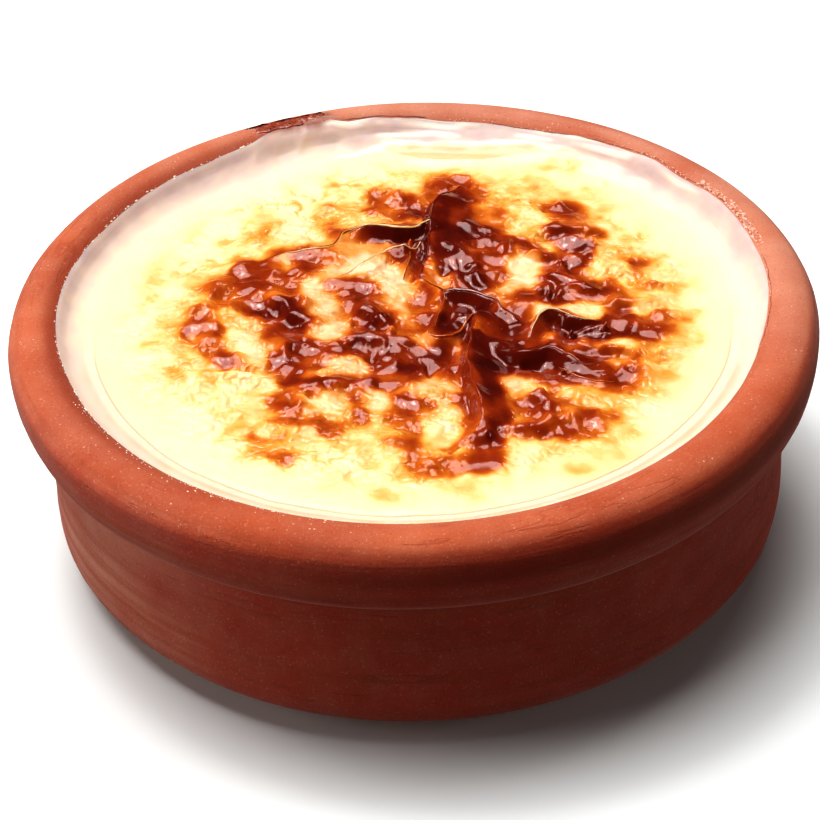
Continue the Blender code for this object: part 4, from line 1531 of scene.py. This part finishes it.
    def surface(self, x: Array, y: Array, angle: Array) -> tuple[Array, ...]:
        """The whole skin.

        Args:
            x: Places along X, in mm.
            y: Places along Y, in mm.
            angle: Their directions from the middle.

        Returns:
            The skin's height, how far it is pushed along X and along Y, how browned it is,
            with painted shade on the folds' steep sides and behind their crests, and how far each
            place is from the edge.
        """
        radius = np.hypot(x, y)
        edge = self.edge(angle)
        to_edge = self.flank_radius(edge, angle) - radius
        browned = self.browning(x, y)
        band = self.edge_band + (self.back_edge_band - self.edge_band) * self.edge_lift(angle)
        height = self.level + (edge - self.level) * np.maximum(0.0, 1.0 - to_edge / band) ** 1.8
        cover = self.film * (1.0 + 0.4 * self.wrinkle.at(x, y, 3.6)) - 0.45 * smooth_step(1.0, 0.0, to_edge)
        clay = self.bowl.flank_height(radius, angle) + cover
        above = clay - height
        height += smooth_step(4.5, 3.6, to_edge) * (0.5 * (above + np.sqrt(above * above + 0.02)))
        height += self.skin_rise * (1.0 - smooth_step(30.0, 42.0, radius))
        wander = self.wander(x, y)
        wx, wy = x + wander[0], y + wander[1]
        raised, sunk, calm = np.zeros_like(x), np.zeros_like(x), np.zeros_like(x)
        east, north, scorch = np.zeros_like(x), np.zeros_like(x), np.zeros_like(x)
        for fold in FOLDS:
            up, push_x, push_y, face, face_tone, edge_tone = self.lift_by(fold, wx, wy)
            raised = np.maximum(raised, up)
            sunk = np.minimum(sunk, up)
            east += push_x
            north += push_y
            # The folds' steep sides and the lines just behind their crests set the skin's tone: partly
            # browning, partly painted shade.
            browned += face * (face_tone - browned)
            scorch = np.maximum(scorch, edge_tone)
            calm = np.maximum(calm, smooth_step(0.3, 1.0, np.abs(up)))
        height += self.relief(x, y, browned) * smooth_step(1.0, 5.0, to_edge) * (1.0 - 0.6 * calm)
        browned = np.maximum(browned, scorch)
        height += (raised + sunk) * smooth_step(0.8, 3.0, to_edge)
        crease = np.exp(-(((radius - self.crease_radius) / 0.4) ** 2)) * smooth_step(0.2, 0.8, -np.sin(angle))
        height -= self.crease_depth * crease
        height = np.minimum(height, self.highest)
        return height, east, north, browned, to_edge

    def build(self) -> Piece:
        """Shape a fine grid into the round skin, and extrude its edge down into the bowl.

        Returns:
            The pudding's piece.
        """
        deselect()
        bpy.ops.mesh.primitive_grid_add(x_subdivisions=self.cells, y_subdivisions=self.cells, size=2.0)
        piece = bpy.context.object
        piece.name = "baked_pudding"
        points = coordinates(piece)
        u, v = points[:, 0], points[:, 1]
        share = np.maximum(np.abs(u), np.abs(v))
        wide = np.abs(u) >= np.abs(v)
        angle = np.where(
            wide,
            np.pi / 4.0 * v / np.where(wide & (u != 0.0), u, 1.0) + np.where(u < 0.0, np.pi, 0.0),
            np.pi / 2.0 - np.pi / 4.0 * u / np.where(~wide, v, 1.0) + np.where(v < 0.0, np.pi, 0.0),
        )
        radius = self.flank_radius(self.edge(angle), angle) * (0.78 * share + 0.22 * share**3)
        x, y = radius * np.cos(angle), radius * np.sin(angle)
        height, east, north, browned, to_edge = self.surface(x, y, angle)
        place_points(piece, np.column_stack((x + east, y + north, height)) * MM)
        drift = np.hypot(x, y) + 2.5 * self.mottle.at(x, y, 9.0)
        patches = 0.75 + 0.9 * self.crumple.layered(x + 90.0, y, 7.0, 2)
        crinkled = np.clip(patches, 0.0, 1.0) * smooth_step(46.0, 37.0, drift)
        crinkled *= smooth_step(0.6, 0.35, browned)
        paint(piece, browning=browned, golden=smooth_step(17.0, 30.0, drift), crinkled=crinkled)
        self.paint_edge(piece, angle, to_edge, x, y)
        self.extend_down(piece)
        piece.data.shade_smooth()
        return piece

    def paint_edge(self, piece: Piece, angle: Array, to_edge: Array, x: Array, y: Array) -> None:
        """Store where the skin's edge is pink-beige, a thin grey film, tan or stained, where painted
        highlights lie on the film's crests, and where the front crease lies, which the finish paints in
        shade.

        Args:
            piece: The pudding.
            angle: The direction of each point.
            to_edge: How far each point is from the edge, in mm.
            x: Each point's place along X, in mm.
            y: Each point's place along Y, in mm.
        """
        around = np.degrees(angle) % 360.0
        width = at_directions(angle, self.film_edge)
        streaks = 1.0 + 0.22 * self.wrinkle.at(angle * 14.0, to_edge * 0.2, 1.0)
        drift = (to_edge + 0.5 * self.mottle.at(x, y, 5.0)) * streaks / width
        cloudy = 0.90 + 0.22 * self.crumple.layered(angle * 40.0, to_edge * 2.0, 3.0)
        back = smooth_step(0.35, 0.75, np.sin(angle)) * smooth_step(106.0, 96.0, around)
        rind = smooth_step(1.9, 0.5, drift) * (1.0 - back) + smooth_step(1.25, 0.95, drift) * back
        border = np.abs(to_edge + 0.4 * self.mottle.at(x, y, 5.0) - 1.08 * width)
        # Painted highlights: white lines along the film's crests at the back.
        crests = self.film_crests(angle, to_edge, border)
        film = smooth_step(1.1, 0.1, drift) ** 1.3 * (1.0 - back) + smooth_step(1.15, 0.65, drift) * back
        film *= (1.0 - 0.9 * crests) * cloudy * at_directions(angle, self.film_edge, 2)
        smear = smooth_step(2.6, 0.4, to_edge + 0.8 * self.wrinkle.layered(x, y, 2.6))
        smear *= smooth_step(101.0, 104.5, around) * smooth_step(118.0, 112.0, around)
        radius = np.hypot(x, y)
        uneven = 0.25 * self.mottle.at(angle * 12.0, 0.0, 3.0)
        paint(
            piece,
            rind=0.9 * rind,
            crests=crests,
            film=np.clip(film, 0.0, 1.0),
            stained=0.85 * smear,
            front=smooth_step(-0.05, 0.30, -np.sin(angle)),
            lip=radius - self.crease_radius + uneven,
            band=radius - at_directions(angle, self.back_band),
            beside=smooth_step(0.95, 1.35, drift) * back,
        )

    def film_crests(self, angle: Array, to_edge: Array, border: Array) -> Array:
        """Where the film at the back has white crests, painted as highlights.

        Args:
            angle: The direction of each point.
            to_edge: How far each point is from the edge, in mm.
            border: How far it is from the line where the film ends, in mm.

        Returns:
            A value for each point, from 0 to 1.
        """
        around = np.degrees(angle) % 360.0
        crests = smooth_step(0.65, 0.2, border) * smooth_step(54.0, 62.0, around)
        for number, inward in enumerate(self.white_lines):
            line = inward + 0.35 * self.mottle.layered(angle * 22.0, 9.0 * number, 4.0, 2)
            gaps = smooth_step(-0.25, 0.25, self.crumple.at(angle * 9.0, 5.0 * number, 2.5))
            crest = smooth_step(0.10 + 0.34 * gaps, 0.10, np.abs(to_edge - line)) * gaps
            crests = np.maximum(crests, crest)
        return crests * smooth_step(0.3, 0.8, np.sin(angle)) * smooth_step(106.0, 101.0, around)

    def extend_down(self, piece: Piece) -> None:
        """Extrude the skin's edge down along the bowl's inside, and close it below.

        Args:
            piece: The skin.
        """
        bpy.context.view_layer.objects.active = piece
        bpy.ops.object.mode_set(mode="EDIT")
        select_boundary(piece)
        for drop, scale in self.wall_steps:
            bpy.ops.mesh.extrude_edges_move(TRANSFORM_OT_translate={"value": (0, 0, -drop * MM)})
            bpy.ops.transform.resize(value=(scale, scale, 1.0), center_override=(0, 0, 0))
        bpy.ops.mesh.edge_face_add()
        finish_mesh()


@dataclass
class SkinEdges:
    """The thickened, glossy edges along the crests of the folds. Sizes in mm."""

    pudding: Pudding
    thickness: float = 0.10
    tilt: Place = (-0.12, -0.33, 0.94)
    share: float = 0.62
    step: int = 2

    def rings(self, fold: Fold) -> tuple[Array, Array]:
        """Lay one edge along its fold.

        Args:
            fold: The fold.

        Returns:
            The middle of the edge, ring by ring, and its half-width at each ring.
        """
        curve = self.pudding.fold_curve(fold)[:: self.step]
        given = np.linspace(0.0, 1.0, len(fold.glint))
        width = np.interp(np.linspace(0.0, 1.0, len(curve)), given, fold.glint)
        x, y = self.pudding.unwarped(curve[:, 0], curve[:, 1])
        height, east, north, _, _ = self.pudding.surface(x, y, np.arctan2(y, x))
        return np.column_stack((x + east, y + north, height)), self.share * width

    def build(self) -> Piece:
        """Join the edges of all folds into one piece.

        Returns:
            The piece.
        """
        strips = Strips("skin_edges", self.thickness, self.tilt)
        for fold in FOLDS:
            if fold.glint:
                strips.add(*self.rings(fold), fold.tone)
        return strips.build()


class Strips:
    """Flattened tubes along curves, joined into one piece. Sizes in mm."""

    sides = 8

    def __init__(self, name: str, thickness: float, tilt: Place) -> None:
        """Start the piece.

        Args:
            name: The piece's name.
            thickness: The tubes' half-thickness.
            tilt: The direction that their flat sides face.
        """
        self.name = name
        self.thickness = thickness
        self.tilt = np.array(tilt)
        self.points: list[Array] = []
        self.faces: list[tuple[int, ...]] = []
        self.tones: list[Array] = []
        self.count = 0

    def add(self, middle: Array, width: Array, tone: float) -> None:
        """Add one tube.

        Args:
            middle: The curve, one row for each ring.
            width: The tube's half-width at each ring.
            tone: How browned the tube is.
        """
        ahead = np.gradient(middle, axis=0)
        ahead /= np.linalg.norm(ahead, axis=1)[:, None]
        across = np.cross(ahead, self.tilt)
        across /= np.linalg.norm(across, axis=1)[:, None]
        up = np.cross(across, ahead)
        turn = np.linspace(0.0, 2.0 * np.pi, self.sides, endpoint=False)
        thick = np.minimum(self.thickness, width)
        wide = across[:, None, :] * (width[:, None] * np.cos(turn))[:, :, None]
        deep = up[:, None, :] * (thick[:, None] * np.sin(turn))[:, :, None]
        for ring in range(len(width) - 1):
            first = self.count + ring * self.sides
            for side in range(self.sides):
                here, beside = first + side, first + (side + 1) % self.sides
                self.faces.append((here, beside, beside + self.sides, here + self.sides))
        last = self.count + (len(width) - 1) * self.sides
        self.faces.append(tuple(range(self.count, self.count + self.sides)))
        self.faces.append(tuple(range(last, last + self.sides)))
        self.points.append((middle[:, None, :] + wide + deep).reshape(-1, 3))
        self.tones.append(np.full(len(width) * self.sides, tone))
        self.count += len(width) * self.sides

    def build(self) -> Piece:
        """Make the piece from all its tubes.

        Returns:
            The piece.
        """
        mesh = bpy.data.meshes.new(self.name)
        mesh.from_pydata((np.concatenate(self.points) * MM).tolist(), [], self.faces)
        piece = link_piece(self.name, mesh)
        paint(piece, browning=np.concatenate(self.tones))
        tidy_normals(piece)
        mesh.shade_smooth()
        return piece


@dataclass(frozen=True)
class Stretch:
    """Lumps strewn along a stretch of the skin's edge, from one direction to another in degrees.

    They lie up to `inside` mm inside the edge and up to `outside` mm outside it, and their
    radius is from `small` to `large` mm.
    """

    start: float
    end: float
    count: int
    inside: float
    outside: float
    small: float
    large: float


@dataclass
class RimDeposits:
    """What boiled over onto the rim: a burnt patch, dried flecks, crumbs and a thin brown line.

    Sizes in mm. `line_runs` gives where each run of the brown line starts and ends, in
    degrees, and how wide it is, as a share of the half-width.
    """

    pudding: Pudding
    patch_start: float = 103.0
    patch_end: float = 118.0
    patch_inner: float = 53.8
    patch_outer: float = 57.2
    patch_cells: tuple[int, int] = (150, 60)
    patch_thickness: float = 0.12
    patch_depth: float = 0.6
    patch_round: Point = (4.2, 4.0)
    edge_inset: float = 0.58
    grain_shape: Point = (1.4, 0.8)
    line_outset: float = 0.16
    line_tone: float = 0.55
    line_thickness: float = 0.06
    line_half_width: float = 0.11
    line_runs: Rows = ((13, 58, 1.0), (60, 76, 0.7), (86, 101, 1.2), (-22, 11, 0.6))
    fleck_stretches: tuple[Stretch, ...] = (
        Stretch(118, 150, 46, 0.30, -0.02, 0.07, 0.24),
        Stretch(150, 190, 60, 0.26, -0.02, 0.06, 0.16),
        Stretch(190, 214, 44, 0.26, 0.06, 0.07, 0.22),
        Stretch(205, 250, 90, -0.2, 1.3, 0.05, 0.13),
        Stretch(222, 262, 34, 0.0, 3.0, 0.05, 0.15),
    )
    crumb_stretches: tuple[Stretch, ...] = (
        Stretch(12, 33, 170, 0.0, 1.2, 0.09, 0.32),
        Stretch(33, 52, 40, 0.0, 0.4, 0.07, 0.2),
        Stretch(-16, 12, 50, 0.1, 0.2, 0.05, 0.14),
        Stretch(60, 84, 34, 0.1, 0.4, 0.06, 0.16),
    )
    noise: Noise = field(default_factory=lambda: Noise(31))

    def contact(self, angle: Array, outward: Array) -> Array:
        """Places on the clay beside the skin's edge.

        Args:
            angle: Directions from the middle.
            outward: How far outside the edge each place is.

        Returns:
            The places, one row each.
        """
        bowl = self.pudding.bowl
        edge = self.pudding.flank_radius(self.pudding.edge(angle), angle)
        radius = edge - self.edge_inset + outward
        height = bowl.flank_height(radius, angle)
        return np.column_stack((radius * np.cos(angle), radius * np.sin(angle), height))

    def line(self) -> Piece:
        """The thin brown line where the skin ends on the clay, at the back and on the right.

        Returns:
            The piece.
        """
        strips = Strips("browned_rim_line", self.line_thickness, (0.0, 0.0, 1.0))
        for start, end, width in self.line_runs:
            angle = np.radians(np.linspace(start, end, int((end - start) * 6)))
            wave = 0.10 * self.noise.layered(angle * 50.0, start, 1.6)
            share = np.linspace(0.0, 1.0, len(angle))
            taper = smooth_step(0.0, 0.08, share) * smooth_step(1.0, 0.92, share)
            taper *= 0.75 + 0.5 * self.noise.at(angle * 50.0, 9.0, 2.0)
            middle = self.contact(angle, self.line_outset + wave)
            strips.add(middle, np.maximum(width * self.line_half_width * taper, 0.01), self.line_tone)
        return strips.build()

    def grains(self, name: str, rows: list[tuple[float, ...]]) -> Piece:
        """Small rough lumps, each half sunk into the clay or the skin, as one piece.

        Args:
            name: The piece's name.
            rows: Each lump's place, its radius, its height as a share of that, and its turn.

        Returns:
            The piece.
        """
        deselect()
        shape = bmesh.new()
        long, wide = self.grain_shape
        for x, y, z, radius, flat, turn in rows:
            scale = Matrix.Diagonal((radius * long * MM, radius * wide * MM, radius * flat * MM, 1.0))
            place = Matrix.Translation((x * MM, y * MM, z * MM)) @ Matrix.Rotation(turn, 4, "Z")
            bmesh.ops.create_icosphere(shape, subdivisions=2, radius=1.0, matrix=place @ scale)
        mesh = bpy.data.meshes.new(name)
        shape.to_mesh(mesh)
        shape.free()
        piece = link_piece(name, mesh)
        points = coordinates(piece)
        shake = self.noise.at(points[:, 0] / MM * 3.0 + points[:, 2] / MM * 5.0, points[:, 1] / MM * 3.0)
        points[:, 2] = np.minimum(points[:, 2] + 0.05 * MM * shake, self.pudding.bowl.height * MM)
        place_points(piece, points)
        mesh.shade_smooth()
        return piece

    def scatter(self, stretches: tuple[Stretch, ...], seed: int) -> list[tuple[float, ...]]:
        """Draw places for lumps along stretches of the skin's edge.

        Args:
            stretches: The stretches.
            seed: Which draw this is.

        Returns:
            One row for each lump.
        """
        draw = np.random.default_rng(seed)
        rows = []
        for stretch in stretches:
            angle = np.radians(draw.uniform(stretch.start, stretch.end, stretch.count))
            outward = draw.uniform(-stretch.inside, stretch.outside, stretch.count)
            radius = stretch.small + (stretch.large - stretch.small) * draw.random(stretch.count) ** 2
            places = self.contact(angle, outward)
            for place, size, around in zip(places, radius, angle):
                flatness = draw.uniform(0.5, 0.9)
                turn = around + math.pi / 2.0 + draw.uniform(-0.6, 0.6)
                rows.append((*place, size, flatness, turn))
        return rows

    def flecks(self) -> Piece:
        """The dried white flecks along the left and the front of the edge.

        Returns:
            The piece.
        """
        return self.grains("dried_flecks", self.scatter(self.fleck_stretches, 5))

    def crumbs(self) -> Piece:
        """The browned crumbs stuck to the clay on the right.

        Returns:
            The piece.
        """
        return self.grains("edge_crumbs", self.scatter(self.crumb_stretches, 6))

    def patch(self) -> Piece:
        """The burnt patch where the pudding ran over the rim: a thin lumpy crust.

        Returns:
            The piece.
        """
        deselect()
        columns, rows = self.patch_cells
        bpy.ops.mesh.primitive_grid_add(x_subdivisions=columns, y_subdivisions=rows, size=2.0)
        piece = bpy.context.object
        piece.name = "burnt_overflow"
        points = coordinates(piece)
        u, v = 0.5 + 0.5 * points[:, 0], 0.5 + 0.5 * points[:, 1]
        angle = np.radians(self.patch_start + (self.patch_end - self.patch_start) * u)
        radius = self.patch_inner + (self.patch_outer - self.patch_inner) * v
        rough = self.noise.layered(u * 16.0, v * 5.0, 2.2)
        edge = np.minimum(np.minimum(u, 1.0 - u) * 3.2, np.minimum(v, 1.0 - v) * 2.0)
        solid = smooth_step(0.08, 0.40, edge + 0.22 * rough)
        lumps = np.maximum(0.0, self.noise.at(u * 16.0 + 40.0, v * 5.0, 1.8))
        lift = self.patch_thickness * solid * (0.5 + 0.4 * rough + 0.7 * lumps) - 0.25 * (1.0 - solid)
        bowl = self.pudding.bowl
        middle = bowl.rim_centre[0]
        half_width, half_height = self.patch_round
        share = np.clip((radius - middle) / half_width, 0.0, 1.0)
        inner = bowl.flank_height(np.minimum(radius, middle), angle)
        height = inner - half_height * (1.0 - np.sqrt(1.0 - share * share)) + lift
        height = np.minimum(height, bowl.height)
        place_points(piece, np.column_stack((radius * np.cos(angle), radius * np.sin(angle), height)) * MM)
        paint(piece, char=np.clip(0.42 + 0.35 * rough + 1.1 * smooth_step(0.55, 0.9, v), 0.0, 1.0))
        bpy.ops.object.mode_set(mode="EDIT")
        bpy.ops.mesh.select_all(action="SELECT")
        bpy.ops.mesh.extrude_region_move(TRANSFORM_OT_translate={"value": (0, 0, -self.patch_depth * MM)})
        finish_mesh()
        piece.data.shade_smooth()
        return piece


# ---------------------------------------------------------------- studio


@dataclass(frozen=True)
class Lamp:
    """A square soft light that points at the pudding. Sizes in metres, power in watts."""

    name: str
    place: Place
    size: float
    power: float
    colour: Colour = (1.0, 0.98, 0.97)
    target: Place = (0.0, 0.0, 0.03)

    def hang(self) -> None:
        """Hang the light in the scene."""
        data = bpy.data.lights.new(self.name, "AREA")
        data.size = self.size
        data.energy = self.power
        data.color = self.colour
        lamp = bpy.data.objects.new(self.name, data)
        lamp.location = self.place
        aim = Vector(self.target) - Vector(self.place)
        lamp.rotation_euler = aim.to_track_quat("-Z", "Y").to_euler()
        bpy.context.scene.collection.objects.link(lamp)


@dataclass(frozen=True)
class Studio:
    """A plain pale floor, soft light from the back left, and the camera. Sizes in metres."""

    eye: Place = (0.0, -0.34303, 0.27053)
    pitch: float = math.radians(36.29)
    yaw: float = math.radians(0.16)
    roll: float = math.radians(-2.25)
    lens_mm: float = 123.15
    floor_size: float = 6.0
    floor_height: float = -0.0001
    floor_colour: tuple[float, ...] = (0.905, 0.93, 0.93, 1.0)
    sky: tuple[float, ...] = (0.80, 0.96, 1.0, 1.0)
    sky_strength: float = 0.03
    lamps: tuple[Lamp, ...] = (
        Lamp("Key", (-0.34, 0.42, 1.92), 1.6, 45.0, (1.0, 0.985, 0.97)),
        Lamp("Spark", (-0.40, 0.40, 1.90), 0.22, 3.6, (1.0, 0.985, 0.97)),
        Lamp("Side", (-1.7, 0.1, 0.36), 0.8, 9.0),
        Lamp("Front", (-0.9, -1.6, 0.10), 0.4, 6.8),
        Lamp("Right", (1.7, 0.1, 0.22), 0.4, 4.0),
    )

    def camera(self) -> None:
        """Place the camera."""
        data = bpy.data.cameras.new("Camera")
        data.lens = self.lens_mm
        data.sensor_width = 36.0
        data.clip_start = 0.01
        camera = bpy.data.objects.new("Camera", data)
        turn = Matrix.Rotation(self.yaw, 4, "Z") @ Matrix.Rotation(math.pi / 2.0 - self.pitch, 4, "X")
        camera.matrix_world = Matrix.Translation(self.eye) @ turn @ Matrix.Rotation(self.roll, 4, "Z")
        bpy.context.scene.collection.objects.link(camera)
        bpy.context.scene.camera = camera

    def floor(self) -> None:
        """Lay the floor that the bowl stands on."""
        deselect()
        bpy.ops.mesh.primitive_plane_add(size=self.floor_size, location=(0, 0, self.floor_height))
        floor = bpy.context.object
        floor.name = "floor"
        floor.visible_diffuse = False
        finish = Finish("Floor_white")
        floor.data.materials.append(finish.set(Base_Color=self.floor_colour, Roughness=0.9))

    def build(self) -> None:
        """Set up the whole studio."""
        self.floor()
        self.camera()
        for lamp in self.lamps:
            lamp.hang()
        world = bpy.data.worlds.new("Soft_white")
        world.use_nodes = True
        background = world.node_tree.nodes["Background"].inputs
        background["Color"].default_value = self.sky
        background["Strength"].default_value = self.sky_strength
        bpy.context.scene.world = world
        bpy.context.scene.view_settings.view_transform = "Standard"
        bpy.context.scene.view_settings.look = "High Contrast"


def main() -> None:
    """Build every piece in order."""
    Studio().build()
    bowl = Bowl()
    clay = bowl.build()
    dress(clay, Terracotta().material())
    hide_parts("bowl")
    skin = Pudding(bowl=bowl)
    pudding = skin.build()
    dress(pudding, BakedCream().material())
    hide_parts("pudding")
    deposits = RimDeposits(skin)
    trim = (
        (SkinEdges(skin).build, ThickEdge()),
        (deposits.patch, Crust()),
        (deposits.line, TOFFEE),
        (deposits.crumbs, CRUMB),
        (deposits.flecks, DRIED_MILK),
    )
    for build, finish in trim:
        dress(build(), finish.material())
    bpy.context.view_layer.update()


if __name__ == "__main__":
    main()
